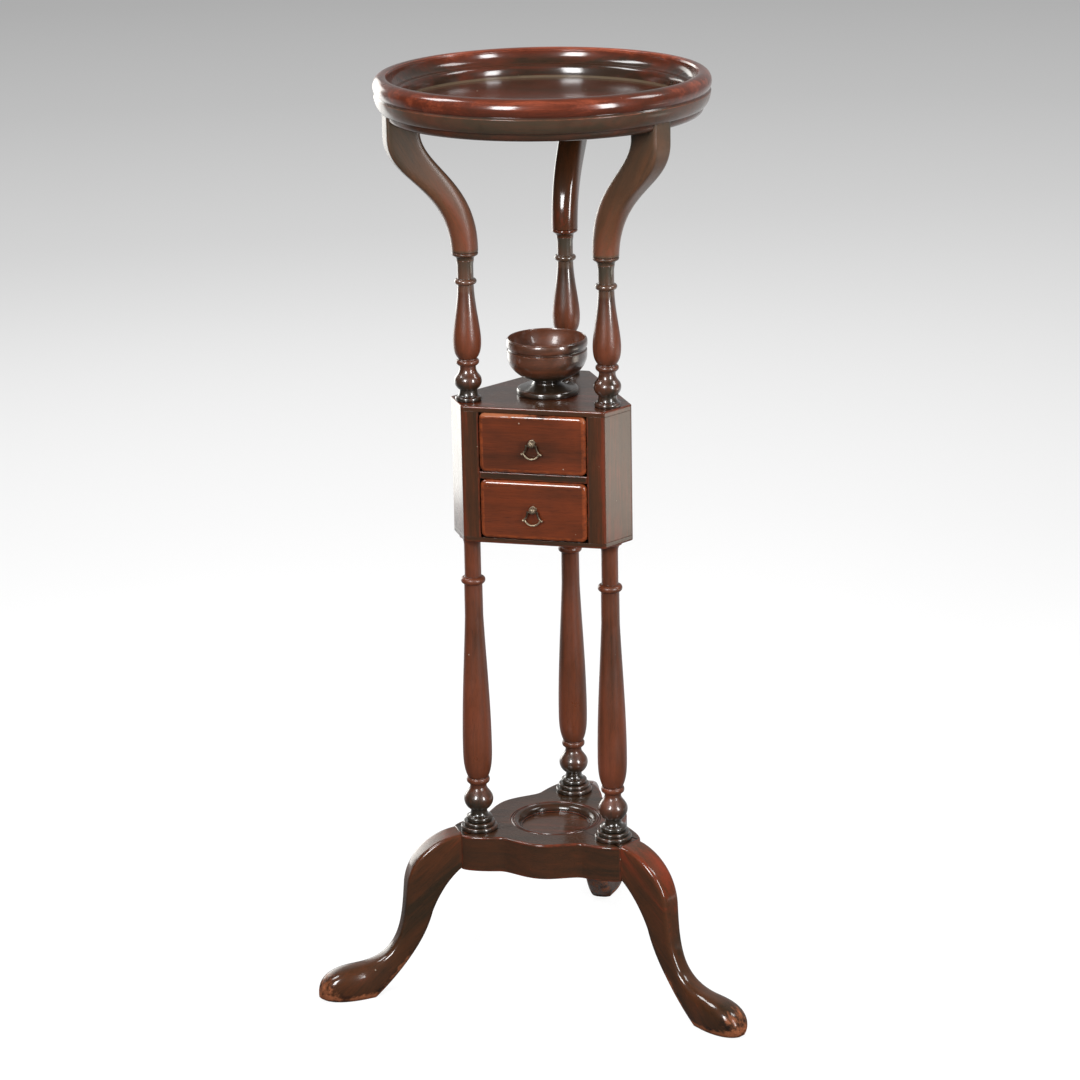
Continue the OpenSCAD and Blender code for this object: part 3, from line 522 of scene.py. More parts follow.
RAW_DARK = rgb(104, 58, 38)
RAW_PALE = rgb(182, 112, 76)
DUST = rgb(108, 94, 76)
SPECK = rgb(176, 164, 146)


def mahogany(name, deep, middle, high, pore_stain_and_shade, streak_gain=1.0, shade_depth=0.9, rub_from=0.25, blotches=1.6,
        rough=0.45, sheen=0.1, polish=0.09, coat_ior=1.6, handled=0.0, slot=None):
    """Lacquered mahogany: olive-brown, redder where its tone is higher, with streaks, pores, painted
    shade in corners and hollows, bare and stained wood where it is worn, and dust. polish is the
    roughness of the lacquer, and handled the share of its gloss that is gone where it is redder."""
    material, t, shader = new_finish(name)
    grain = t.attribute("grain", "Vector")
    edge = t.attribute("edge")
    tone = t.attribute("tone")
    wear = t.attribute("wear")
    streaks = t.noise(t.scaled(grain, STREAKS), detail=5, rough=0.62, distortion=0.4)
    fibres = t.noise(t.scaled(grain, FIBRES), detail=3, rough=0.6)
    blotch = t.noise(t.scaled(grain, BLOTCHES), detail=3, rough=0.55)
    pore = t.spread(t.noise(t.scaled(grain, PORES), detail=1), 0.58, 0.72)

    figure = t.plus(t.swing(streaks, 1.7 * streak_gain), t.swing(fibres, 0.8 * streak_gain))
    figure = t.plus(figure, t.swing(blotch, blotches))
    level = t.plus(t.times(figure, 0.6), tone, clamp=True)
    colour = t.mix(t.spread(level, 0.05, 0.5), deep, middle)
    colour = t.mix(t.spread(level, 0.5, 0.95), colour, high)
    colour = t.mix(t.times(pore, 0.5), colour, pore_stain_and_shade)

    # Painted shade: the colour darkens in corners, where ambient occlusion finds other surfaces close, and in
    # hollows of the surface.
    corner_shade = t.spread(t.closeness(0.006), 0.25, 0.80)
    hollow = t.spread(edge, -0.12, -0.8, 0.0, 0.7)
    colour = t.mix(t.times(t.most(corner_shade, hollow), shade_depth), colour, pore_stain_and_shade)

    ragged = t.noise(t.scaled(grain, RAGGED), detail=6, rough=0.7)
    rubbed = t.times(t.spread(edge, rub_from, 4 * rub_from), t.spread(ragged, 0.36, 0.60))
    colour = t.mix(t.times(rubbed, 0.5), colour, high)

    raw = t.spread(t.plus(wear, t.swing(ragged, 1.3)), 0.40, 0.72)
    chips = t.times(t.spread(edge, 0.6, 1.3), t.spread(ragged, 0.68, 0.72))
    bare = t.most(raw, chips)
    colour = t.mix(t.times(bare, 0.9), colour, t.mix(fibres, RAW_DARK, RAW_PALE))
    stains = t.noise(grain, scale=70, detail=4, rough=0.6)
    stained = t.times(t.spread(wear, 0.15, 0.45), t.spread(stains, 0.52, 0.60))
    colour = t.mix(t.times(stained, 0.75), colour, pore_stain_and_shade)
    dusty = t.times(t.spread(wear, -0.05, -0.9), t.spread(stains, 0.15, 0.5, 0.55, 1.0))
    colour = t.mix(t.times(dusty, 0.7), colour, DUST)

    specks = t.add("TexVoronoi", {"Vector": grain, "Scale": 110})
    speck_size = t.spread(t.noise(grain, scale=75, detail=1), 0.52, 0.85, 0.0, 0.13)
    speck = t.math("LESS_THAN", specks.outputs["Distance"], speck_size)
    colour = t.mix(t.times(speck, 0.7), colour, SPECK)

    haze = t.noise(t.scaled(grain, HAZE), detail=4, rough=0.65)
    roughness = t.spread(haze, 0.3, 0.75, rough - 0.08, rough + 0.12)
    dull = t.most(t.most(bare, speck), t.times(dusty, 0.7))
    if handled:
        dull = t.most(dull, t.spread(tone, 0.22, 0.36, 0.0, handled))
    waves = t.bump(t.noise(grain, scale=55, detail=2), 0.00025, 0.35)
    relief = t.plus(t.times(pore, -0.5), t.times(bare, -1.0))
    t.fill(shader, {
        "Base Color": colour,
        "Roughness": t.most(roughness, t.times(bare, 0.65)),
        "Specular IOR Level": sheen,
        "Coat Weight": t.less(1.0, dull, clamp=True),
        "Coat Roughness": polish,
        "Coat IOR": coat_ior,
        "Normal": t.bump(relief, 0.00006, 0.6, waves),
        "Coat Normal": waves})
    return material, slot or name


def bare_wood(name):
    """Pale unfinished secondary wood, aged, with soft streaks and painted shade in its corners."""
    material, t, shader = new_finish(name)
    place = t.place()
    streaks = t.noise(t.scaled(place, (300, 14, 300)), detail=5, rough=0.6)
    fibres = t.noise(t.scaled(place, (1400, 60, 1400)), detail=2)
    blotch = t.noise(place, scale=28, detail=3)
    level = t.plus(t.times(streaks, 0.7), t.times(fibres, 0.3))
    colour = t.mix(t.spread(level, 0.35, 0.68), rgb(122, 86, 54), rgb(178, 136, 92))
    colour = t.mix(t.spread(blotch, 0.4, 0.7, 0.0, 0.35), colour, rgb(110, 74, 46))
    # Painted shade: darker in corners, where ambient occlusion finds other surfaces close.
    colour = t.mix(t.spread(t.closeness(0.008), 0.35, 0.9, 0.0, 0.75), colour, rgb(52, 34, 22))
    t.fill(shader, {
        "Base Color": colour,
        "Roughness": t.spread(fibres, 0.3, 0.7, 0.62, 0.8),
        "Normal": t.bump(level, 0.00012, 0.5)})
    return material, name


def bronze(name):
    """Dull aged brass: bright on its edges, brown where its tone is low, and darkened by painted shade in
    hollows.
    """
    material, t, shader = new_finish(name)
    mottled = t.noise(t.place(), scale=900, detail=4, rough=0.65)
    rubbed = t.times(t.spread(t.attribute("edge"), 0.05, 0.9), t.spread(mottled, 0.3, 0.6))
    colour = t.mix(t.spread(mottled, 0.35, 0.7), rgb(78, 65, 54), rgb(124, 106, 88))
    colour = t.mix(rubbed, colour, rgb(180, 164, 138))
    colour = t.mix(t.spread(t.attribute("tone"), 0.9, 0.1, 0.0, 0.85), colour, rgb(44, 34, 25))
    # Painted shade: near black where ambient occlusion finds other surfaces close.
    colour = t.mix(t.spread(t.closeness(0.003), 0.3, 0.9, 0.0, 0.85), colour, rgb(30, 23, 17))
    t.fill(shader, {
        "Base Color": colour,
        "Metallic": 0.8,
        "Roughness": t.spread(mottled, 0.3, 0.7, 0.36, 0.55),
        "Normal": t.bump(mottled, 0.00004, 0.5)})
    return material, name


RING = mahogany(
    "ring_mahogany", rgb(44, 30, 20), rgb(88, 38, 22), rgb(166, 80, 52), rgb(20, 12, 8),
    streak_gain=0.7, shade_depth=0.45, rub_from=0.5, blotches=1.4, polish=0.14, slot="turned_mahogany")
TURNED = mahogany(
    "turned_mahogany", rgb(38, 30, 19), rgb(100, 51, 30), rgb(126, 62, 40), rgb(14, 10, 7),
    streak_gain=0.6, rub_from=0.6, rough=0.34, sheen=0.6, polish=0.065, handled=0.95)
BRACKET = mahogany(
    "bracket_mahogany", rgb(50, 42, 31), rgb(92, 59, 38), rgb(120, 58, 34), rgb(18, 13, 9),
    streak_gain=0.7, rough=0.46, sheen=0.3, polish=0.3, coat_ior=1.35, slot="carved_mahogany")
CARVED = mahogany(
    "carved_mahogany", rgb(44, 31, 18), rgb(74, 41, 21), rgb(122, 46, 23), rgb(18, 12, 8),
    streak_gain=0.9, rub_from=0.2, blotches=2.2, polish=0.13)
CASE = mahogany(
    "case_mahogany", rgb(42, 30, 18), rgb(68, 38, 20), rgb(120, 47, 25), rgb(15, 11, 8),
    streak_gain=0.9, rub_from=0.12, polish=0.18)
DRAWER = mahogany(
    "drawer_mahogany", rgb(58, 30, 15), rgb(108, 47, 21), rgb(174, 82, 38), rgb(20, 11, 7),
    streak_gain=0.5, rub_from=0.09, blotches=2.0, polish=0.14)
BOWL = mahogany(
    "bowl_mahogany", rgb(40, 31, 21), rgb(104, 58, 38), rgb(124, 70, 48), rgb(14, 10, 7),
    streak_gain=0.6, rub_from=0.5, rough=0.34, sheen=0.5, polish=0.10, handled=0.9, slot="turned_mahogany")
LINING = bare_wood("drawer_lining")
BRONZE = bronze("bronzed_brass")


# The ring and its floor

def ring_profile():
    """Outline of the basin ring's section, as (radius, height) points."""
    crest = (RING_R - RIM_W, FASCIA_Z + FASCIA_H)
    arris = (crest[0] - RIM_W / 2, crest[1] + RIM_H * 0.72)
    step_w, step_h = 3.7, 10.8
    hollow = (WELL_R + step_w, FLOOR_Z + step_h)
    low = RING_LOW[2]
    top = (FASCIA_R + FASCIA_SWELL, FASCIA_Z + FASCIA_RISE)
    points = [(LIP_R, low + 1.5), (LIP_R + 1.5, low)]
    points += [(UNDER_R - 5 + 5 * sin(a), low + 5 - 5 * cos(a)) for a in quarter(12)]
    points += [(UNDER_R, FASCIA_Z)]
    points += curve([(FASCIA_R, FASCIA_Z), (FASCIA_R + 0.55 * FASCIA_SWELL, FASCIA_Z + 0.2 * FASCIA_RISE),
            (top[0] - 0.3, top[1] - 0.45 * FASCIA_RISE), top]) + [top]
    points += [(crest[0] + RIM_W * cos(radians(a)), crest[1] + RIM_H * sin(radians(a)))
            for a in linspace(-38, 114, 46)]
    points += [(hollow[0] + (arris[0] - hollow[0]) * cos(a), arris[1] - (arris[1] - hollow[1]) * sin(a))
            for a in quarter(19)]
    points += [(hollow[0] - step_w * sin(a), FLOOR_Z + step_h * cos(a)) for a in quarter(23)[1:]]
    points += [(WELL_R, FASCIA_Z + 0.2), (LIP_R, FASCIA_Z + 0.2), (LIP_R, low + 1.5)]
    return points


def ring_tone(p):
    """The rim is rubbed red on its outer flank at the front. Its crest is lighter and redder towards the
    back, which is painted light on the far crest that faces the lamps.
    """
    r = from_axis(p)
    if p[2] < FASCIA_Z + FASCIA_RISE + 2 and r > WELL_R + 1:
        return 0.24
    back = 0.5 + 0.5 * (p[1] - AXIS_Y) / RING_R
    crest = share(1 - (RING_HIGH[2] - p[2]) / 11) * (1 if r > 125 else 0.3)
    flank = share((r - RING_R + 7) / 5)
    # The crest term grows towards the back, and is painted light there.
    return 0.16 + 0.30 * flank * (1 - 0.5 * back) + crest * (0.08 + 0.60 * back * back)


def ring_dust(p):
    """Dust along the joint between the ring and its floor, and a dull fascia."""
    r = from_axis(p)
    at_floor = max(0, 1 - abs(r - WELL_R) / 2.2) * (1 if abs(p[2] - FLOOR_Z) < 1.5 else 0)
    fascia = 0.3 if r > 120 and FASCIA_Z - 0.2 < p[2] < FASCIA_Z + FASCIA_RISE + 0.5 else 0
    return -max(at_floor, fascia, 0.12 if p[2] < FASCIA_Z else 0)


def make_ring():
    part = lathe(soften(ring_profile(), 0.5), (0, AXIS_Y), 256)
    piece("ring_with_mouldings", part, "basin_ring", RING, (1, 0.25, 0), ring_tone, ring_dust)
    edge_r, low = WELL_R - 0.25, FASCIA_Z + 0.25
    disc = [(0, low), (edge_r - 20, low), (edge_r, low)]
    disc += [(r, FLOOR_Z) for r in (edge_r, edge_r - 1, edge_r - 2, edge_r - 4, edge_r - 20, 50, 0)]
    part = lathe(soften(disc, 0.3), (0, AXIS_Y), 256)
    piece("ring_floor_disc", part, "basin_floor", RING, (1, 0.1, 0), 0.2, ring_dust)


# Carved brackets and legs

def section_ring(outer, inner, half_width, squareness, sides):
    """Ring between an outer and an inner point of (reach, height), as (reach, side, height)."""
    outer, inner = array(outer, float), array(inner, float)
    middle, half = (outer + inner) / 2, (outer - inner) / 2
    power = 2 / squareness
    ring = []
    for k in range(sides):
        a = 2 * pi * k / sides
        c = copysign(abs(cos(a)) ** power, cos(a))
        d = copysign(abs(sin(a)) ** power, sin(a))
        p = middle + half * c
        ring.append((p[0], half_width * d, p[1]))
    return ring


def outward(rings, angle):
    """Rings drawn with X pointing outwards, turned to a corner of the stand."""
    return [[(*turned((p[0], p[1]), angle), p[2]) for p in ring] for ring in rings]


def bracket_rings(sides=72, steps=60, head_steps=6):
    head_in = BRACKET_OUT_R - BRACKET_HEAD_D
    foot_z = BRACKET_LOW + COLLAR_H
    rise = FASCIA_Z - foot_z
    foot_out, foot_in = POST_CIRCLE_R + BRACKET_FOOT_R, POST_CIRCLE_R - BRACKET_FOOT_R
    outer = [(BRACKET_OUT_R, foot_z + 0.84 * rise), (BRACKET_OUT_R - 0.4, foot_z + 0.53 * rise),
            (foot_out + 2.5, foot_z + 0.49 * rise), (foot_out, foot_z)]
    inner = [(head_in, foot_z + 0.86 * rise), (head_in - 4, foot_z + 0.62 * rise),
            (foot_in - 0.5, foot_z + 0.5 * rise), (foot_in, foot_z)]
    rings = []
    for i in range(head_steps):
        level = [(q[0], q[1] + (FASCIA_Z - q[1]) * (1 - i / head_steps)) for q in (outer[0], inner[0])]
        rings.append(section_ring(level[0], level[1], BRACKET_W / 2, 9, sides))
    for i in range(steps + 1):
        t = i / steps
        rings.append(section_ring(curve_point(outer, t), curve_point(inner, t),
                ease(BRACKET_W / 2, BRACKET_FOOT_R, t), 2 + 7 * (1 - t) ** 1.6, sides))
    return rings


def bracket_tone(p):
    """Redder downwards, and olive on the collar."""
    if p[2] < BRACKET_LOW + COLLAR_H:
        return 0.12
    return 0.10 + 0.60 * (1 - (p[2] - BRACKET_LOW) / (FASCIA_Z - BRACKET_LOW))


def bracket_dust(p):
    """Light dust, thicker towards the head."""
    return -0.08 - 0.2 * max(0, (p[2] - BRACKET_LOW - 40) / (FASCIA_Z - BRACKET_LOW))


def make_brackets():
    foot_z = BRACKET_LOW + COLLAR_H
    neck, lip, bead_low = UPPER_SHAFT_R + 0.6, BRACKET_FOOT_R - 1, foot_z - 3.2
    collar = [(0, BRACKET_LOW), (neck, BRACKET_LOW)]
    collar += flare((neck, BRACKET_LOW + 0.4), (lip - 0.4, bead_low - 0.4))
    collar += bead(lip, 0.9, bead_low, foot_z - 0.5)
    collar += [(lip + 0.1, foot_z - 0.3), (BRACKET_FOOT_R - 0.4, foot_z + 0.2), (0, foot_z + 0.2)]
    collar = soften(collar, 0.2)
    for side, angle in CORNERS.items():
        part = together(skin(outward(bracket_rings(), angle)), lathe(collar, post_centre(angle), 72))
        finish, tone, wear = BRACKET, bracket_tone, bracket_dust
        if side == "rear":
            finish, tone, wear = CARVED, 0.3, 0.0
        piece(f"carved_bracket_{side}", part, f"scroll_bracket_{side}", finish, slope(66, 122, angle),
              tone, wear)


def leg_curves():
    """Outer and inner outline of a leg, three cubic curves each, as points of (reach, height)."""
    knee = array([KNEE_R, KNEE_Z])
    instep = array([(KNEE_R + TOE_R) / 2 + 2, INSTEP_Z])
    hollow = array([KNEE_R - KNEE_T, KNEE_Z - 25])
    heel = array([HEEL_R, -2])
    toe = array([TOE_R, 4])
    outer = [[(ARM_R, PLATFORM_Z), (ARM_R + 22, PLATFORM_Z - 2), knee + (-2, 29), knee],
            [knee, knee + (3, -30), (KNEE_R + 4.5, INSTEP_Z + 3), instep],
            [instep, instep + (19, -2), (TOE_R, INSTEP_Z - 5), toe]]
    inner = [[(ARM_R, PLATFORM_BASE), (ARM_R + 11, PLATFORM_BASE - 8.5), hollow + (-6, 16), hollow],
            [hollow, hollow + (6, -23), (HEEL_R - 33, 28), heel],
            [heel, heel + (16, -1), toe + (-18, -7), toe + (-4, -3)]]
    return outer, inner


def leg_rings(steps=26, sides=80):
    outer, inner = leg_curves()
    rings = []
    for i in range(3 * steps + 1):
        s = i / steps
        j = min(int(s), 2)
        nose = max(0, (s - 2.35) / 0.65)
        if s < 1.5:
            half = ease(LEG_W / 2, ANKLE_W / 2, s / 1.5)
        else:
            half = ease(ANKLE_W / 2, FOOT_W / 2, (s - 1.5) / 0.85)
        half *= sqrt(max(0.02, 1 - nose * nose))
        squareness = 2.7 + 7.5 * max(0, 1 - s / 2.1) ** 1.3
        rings.append(section_ring(curve_point(outer[j], s - j), curve_point(inner[j], s - j), half,
                squareness, sides))
    return rings


def cut_flat(part):
    """A mesh part cut flat and closed where it meets the floor."""
    points, faces = part
    bm = bmesh.new()
    verts = [bm.verts.new(p) for p in points]
    for f in faces:
        bm.faces.new([verts[i] for i in f])
    bmesh.ops.bisect_plane(bm, geom=list(bm.verts) + list(bm.edges) + list(bm.faces), dist=1e-4,
            plane_co=(0, 0, 0), plane_no=(0, 0, 1), clear_inner=True)
    bmesh.ops.holes_fill(bm, edges=[e for e in bm.edges if e.is_boundary], sides=0)
    bm.verts.index_update()
    result = [tuple(v.co) for v in bm.verts], [[v.index for v in f.verts] for f in bm.faces]
    bm.free()
    return result


def make_leg_wear():
    """Bare wood round the toe, along the sole's edge and up the inner edge."""
    shin = array([curve_point(leg_curves()[1][1], t) for t in linspace(1, 0, 40)])

    def wear(p):
        r = from_axis(p)
        toe = share((r - (TOE_R - 24)) / 16) * (0.54 if p[2] > 9 else 0.74)
        sole = share((10 - p[2]) / 6) * 0.76 if r > HEEL_R - 4 else 0
        inside = 1.7 * (1 - (r - np.interp(p[2], shin[:, 1], shin[:, 0])) / 15)
        edge = 0.56 * share(inside) * share((50 - p[2]) / 16)
        return max(toe, sole, edge)

    return wear


def leg_tone(p):
    """Redder upwards, from the ankle towards the knee."""
    return 0.26 + 0.16 * share((p[2] - 60) / 60)


def make_legs():
    for side, angle in CORNERS.items():
        part = cut_flat(skin(outward(leg_rings(), angle)))
        piece(f"cabriole_leg_{side}", part, f"leg_{side}", CARVED, slope(TOE_R - ARM_R, -110, angle),
              leg_tone, make_leg_wear())


# Turned posts and the bowl

def upper_post_profile():
    l = BRACKET_LOW - CABINET_HIGH
    base, n, v = 11.3, UPPER_SHAFT_R, 12
    bulb, collar, vase, ring = 16.5, 33.7, 52, l - 18.3
    profile = [(0, 0), (base - 1, 0)] + bead(base - 1, 1, 0.2, 3.8) + [(base - 2, 4.2)]
    profile += cove((base - 2, 4.6), (n + 0.8, bulb - 7))
    profile += curve([(n + 0.8, bulb - 6.7), (n + 4.4, bulb - 4.5), (n + 6.6, bulb + 1.5),
            (n + 3, bulb + 5.5)], 18)
    profile += curve([(n + 3, bulb + 5.5), (n + 1, bulb + 8), (n + 0.2, bulb + 9.5),
            (n + 0.2, collar - 4.6)], 12)
    profile += [(n + 0.2, collar - 3), (n + 1.6, collar - 2.6)]
    profile += bead(n + 1.6, 1.4, collar - 2.1, collar + 2.1)
    profile += [(n + 1.6, collar + 2.5), (n + 1.2, collar + 3)]
    profile += curve([(n + 1.3, collar + 3.4), (n + 4.4, collar + 7.2), (v, vase - 6), (v, vase)])
    profile += curve([(v, vase), (v, vase + 10), (n + 1, ring - 24), (n, ring - 5)])
    profile += [(n, ring - 2.9)] + bead(n, 2.5, ring - 2.5, ring + 2.5) + [(n, ring + 2.9), (n, l - 4)]
    return profile + [(n + 0.6, l), (0, l)]


def lower_post_profile():
    l = CABINET_LOW - PLATFORM_Z
    b, s, v = 16.3, 7.9, 12.8
    neck, head = s - 0.7, l - 9
    bulb, collar, vase, ring = 27, 46, 76, l - 40.5
    profile = [(0, 0), (b - 1, 0)] + bead(b - 1, 1, 0.2, 3.8) + [(b - 1.6, 4)]
    profile += bead(b - 3.2, 1, 4.3, 7.6) + [(b - 4.4, 7.9)] + bead(b - 6.2, 1.7, 8.2, 12.4)
    profile += cove((b - 6.6, 12.7), (neck, bulb - 10))
    profile += curve([(neck, bulb - 8.6), (s + 3.6, bulb - 6.4), (s + 6.6, bulb), (s + 4, bulb + 5)], 20)
    profile += curve([(s + 4, bulb + 5), (s + 1.8, bulb + 9), (neck, bulb + 10.5), (neck, collar - 5.4)], 14)
    profile += [(neck, collar - 3.4), (s + 0.8, collar - 3)] + bead(s + 0.9, 1.4, collar - 2.5, collar + 2.5)
    profile += [(s + 0.8, collar + 3), (s + 1.4, collar + 3.8)]
    profile += curve([(s + 1.6, collar + 4.2), (v - 0.6, collar + 11), (v, vase - 12), (v, vase)])
    profile += curve([(v, vase), (v, vase + 42), (s + 1.6, vase + 84), (s, ring - 29.5)], 40)
    profile += [(s, ring - 3.4)] + bead(s, 2.7, ring - 3, ring + 3) + [(neck, ring + 3.4)]
    profile += [(neck, head)] + flare((neck, head + 0.4), (neck + 3.6, l - 1.2))
    return profile + [(neck + 3.6, l), (0, l)]


def post_tone(profile, low, plain, gain, base, base_share):
    """Posts are rubbed redder where they are fuller, and darker in the lowest share of their height."""
    radii, heights = array(profile).T

    def tone(p):
        near = np.abs(heights + low - p[2]) < 6
        smooth = radii[near].mean() if near.any() else 8
        up = (p[2] - low) / heights.max()
        return float(plain + gain * (smooth - 8) - base * share(1.6 * (1 - up / base_share)))

    return tone


def post_dust(p):
    """The upper posts are dusty above their vases."""
    return -0.3 if p[2] > CABINET_HIGH + 95 else 0


def make_posts():
    upper, lower = upper_post_profile(), lower_post_profile()
    upper_tone = post_tone(upper, CABINET_HIGH, 0.24, 0.06, 0.3, 0.26)
    lower_tone = post_tone(lower, PLATFORM_Z, 0.40, 0.02, 0.42, 0.17)
    for storey, profile, low, tone, wear in (("upper", upper, CABINET_HIGH, upper_tone, post_dust),
            ("lower", lower, PLATFORM_Z, lower_tone, 0.0)):
        profile = [(r, z + low) for r, z in soften(profile, 0.22)]
        for side, angle in CORNERS.items():
            piece(f"turned_{storey}_post_{side}", lathe(profile, post_centre(angle), 96),
                  f"{storey}_post_{side}", TURNED, (0, 0, 1), tone, wear)


def make_bowl():
    h = box_mm("soap_bowl")[1][2] - CABINET_HIGH
    f, r, n = 26.6, 34.8, 12.2
    inner, deep = r - 2.2, h - 30
    profile = [(0, 0), (f - 1.2, 0)] + bead(f - 1.2, 1.2, 0.2, 5.2) + [(f - 2, 5.6)]
    profile += curve([(f - 2.4, 5.8), (f - 7, 6.6), (n, 7.4), (n, 10.6)], 20)
    profile += curve([(n, 10.6), (n, 12.6), (n + 4, 13), (n + 8, 15)], 12)
    profile += curve([(n + 8, 15), (r - 9, 18), (r - 0.6, 24), (r - 0.4, 34.5)], 24)
    profile += [(r - 0.5, h - 10.6), (r - 1.8, h - 9.8), (r - 1.8, h - 8.6)]
    profile += bead(r - 1.1, 1.1, h - 8, h - 0.8)
    profile += [(r - 1.4, h - 0.2), (r - 1.8, h), (inner + 0.3, h - 0.2)]
    profile += curve([(inner, h - 1), (inner + 0.2, h - 16), (inner - 12, deep), (0, deep)], 36)
    profile += [(0, deep)]
    profile = [(p, z + CABINET_HIGH) for p, z in soften(profile, 0.25)]

    def tone(p):
        if from_axis(p) < inner + 0.2 and p[2] > CABINET_HIGH + deep - 0.1:
            return 0.32
        return 0.23 * share(((p[2] - CABINET_HIGH) / h - 0.3) / 0.35)

    piece("turned_soap_bowl", lathe(profile, (0, AXIS_Y), 160), "soap_bowl", BOWL, (1, 0, 0.1), tone)


# The cabinet and its drawers

def cabinet_outline():
    return [turned((CORNER_A, side * CORNER_HALF), angle)
            for angle in (REAR, LEFT, RIGHT) for side in (-1, 1)]


def stile_outline(angle):
    c, s = cos(radians(30)), sin(radians(30))
    edge = (CORNER_A - STILE_W * c, CORNER_HALF + STILE_W * s)
    inner = (edge[0] - STILE_D * s, edge[1] - STILE_D * c)
    plan = [(CORNER_A, -CORNER_HALF), (CORNER_A, CORNER_HALF), edge, inner, (inner[0], -inner[1]),
            (edge[0], -edge[1])]
    return [turned(p, angle) for p in plan]


CASE_CORNER_R = 3.5
STILE_CORNERS = [CASE_CORNER_R] * 2 + [0.9] * 4
ARRISES = cabinet_outline()


def stile_tone(p):
    """Stiles are rubbed red along their outer arrises."""
    away = min(hypot(p[0] - a[0], p[1] - a[1]) for a in ARRISES)
    return 0.26 + 0.34 * max(0, 1 - away / 7)


def make_cabinet():
    opening = (CORNER_A - CABINET_A / 2) / cos(radians(30)) - STILE_W
    low, high = CABINET_LOW + BOARD_T, CABINET_HIGH - BOARD_T
    plan = cabinet_outline()
    piece("cabinet_top_board", slab(plan, high, CABINET_HIGH, CASE_CORNER_R, 0.06, 0.9), "cabinet_top", CASE,
          (1, 0.04, 0), 0.5, seams=(high,))
    piece("cabinet_bottom_board", slab(plan, CABINET_LOW, low, CASE_CORNER_R, 0.9, 0.06), "cabinet_bottom",
          CASE, (1, -0.03, 0), 0.36, seams=(low,))
    for side, angle in CORNERS.items():
        part = slab(stile_outline(angle), low, high, STILE_CORNERS, 0.06, 0.06)
        piece(f"cabinet_stile_{side}", part, f"corner_stile_{side}", CASE, (0, 0.02, 1), stile_tone,
              seams=(low, high))
    inside = CABINET_A - PANEL_T
    plan = [(inside, -opening), (CABINET_A, -opening), (CABINET_A, opening), (inside, opening)]
    for side, angle in (("left", LEFT_SIDE), ("right", RIGHT_SIDE)):
        part = slab([turned(p, angle) for p in plan], low, high, 0.25, 0.2, 0.2)
        piece(f"cabinet_panel_{side}", part, f"side_panel_{side}", CASE, (0.05, 0, 1), 0.4)
    part = slab(face_outline(opening, RAIL_LOW[2], RAIL_HIGH[2]), RAIL_LOW[1], RAIL_HIGH[1], 0.3, 0.5, 0.3,
            upright)
    piece("cabinet_drawer_rail", part, "drawer_rail", CASE, (1, 0, 0.02), 0.1)


def face_outline(half, low, high):
    """Rectangle of (across, height) points."""
    return [(-half, low), (half, low), (half, high), (-half, high)]


def front_wear(low, high):
    """The upper drawer is rubbed bare along its top left edge and chipped at its top right corner."""
    def wear(p):
        top = max(0, 1 - (high[2] - p[2]) / 4.5)
        left = max(0, 1 - (p[0] - low[0]) / 26)
        right = max(0, 1 - hypot(high[0] - p[0] - 2, high[2] - p[2] - 2) / 7)
        return 0.95 * min(1, 1.5 * top) * min(1, left * 1.8) + 0.8 * right
    return wear


def upper_drawer_tone(p):
    """The upper drawer is brightest at and right of its pull, and dark at its left."""
    low, high = box_mm("upper_drawer_front")
    across = (p[0] - low[0]) / (high[0] - low[0])
    up = (p[2] - low[2]) / (high[2] - low[2])
    return 0.34 + 0.62 * exp(-((across - 0.66) / 0.30) ** 2 - ((up - 0.55) / 0.55) ** 2)


def make_drawers():
    for storey in STOREYS:
        node = f"{storey}_drawer_front"
        low, high = box_mm(node)
        face = face_outline((high[0] - low[0]) / 2 - 0.03, low[2], high[2])
        part = slab(face, low[1], high[1], 5.5, 3.4, 0.4, upright, steps=9)
        tone, wear = (upper_drawer_tone, front_wear(low, high)) if storey == "upper" else (0.34, 0.0)
        piece(f"{storey}_drawer_face", part, node, DRAWER, (1, 0, 0.015), tone, wear, body=f"{storey}_drawer")


# The pulls

def make_pulls():
    for storey in STOREYS:
        post_low, post_high = box_mm(f"{storey}_pull_post")
        head_r = (post_high[0] - post_low[0]) / 2
        head_z = (post_low[2] + post_high[2]) / 2
        bail_low, bail_high = box_mm(f"{storey}_bail")
        pivot_y = (bail_low[1] + bail_high[1]) / 2
        make_pull_head(storey, head_r, head_z, pivot_y)
        make_bail(storey, head_r + BALL_GAP + BALL_R, pivot_y, bail_high[2] - BALL_R)


def make_pull_head(storey, head_r, head_z, pivot_y):
    """Domed head with radial flutes, on a neck and a small flange."""
    reach = box_mm(f"{storey}_drawer_front")[0][1] - pivot_y
    profile = [(0, -head_r), (head_r * 0.16, -head_r * 0.99), (head_r * 0.24, -head_r * 0.90)]
    profile += [(head_r * sin(a), -head_r * cos(a)) for a in linspace(0.34, 2.35, 30)]
    profile += [(2.0, 0.75 * head_r), (2.0, reach - 1.0), (3.1, reach - 0.8), (3.1, reach), (0, reach)]
    points, faces = lathe(soften(profile, 0.12), (0, 0), 12 * FLUTES)
    shaped = []
    for x, y, w in points:
        r, a = hypot(x, y), atan2(y, x)
        on_face = share((r / head_r - 0.26) / 0.2) * share((0.15 - w / head_r) / 0.5)
        r *= 1 - 0.07 * on_face * (0.5 + 0.5 * cos(FLUTES * a))
        shaped.append((r * cos(a), pivot_y + w, head_z + r * sin(a)))
    piece(f"{storey}_pull_head", (shaped, faces), f"{storey}_pull_post", BRONZE, tone=1.0,
          body=f"{storey}_drawer")


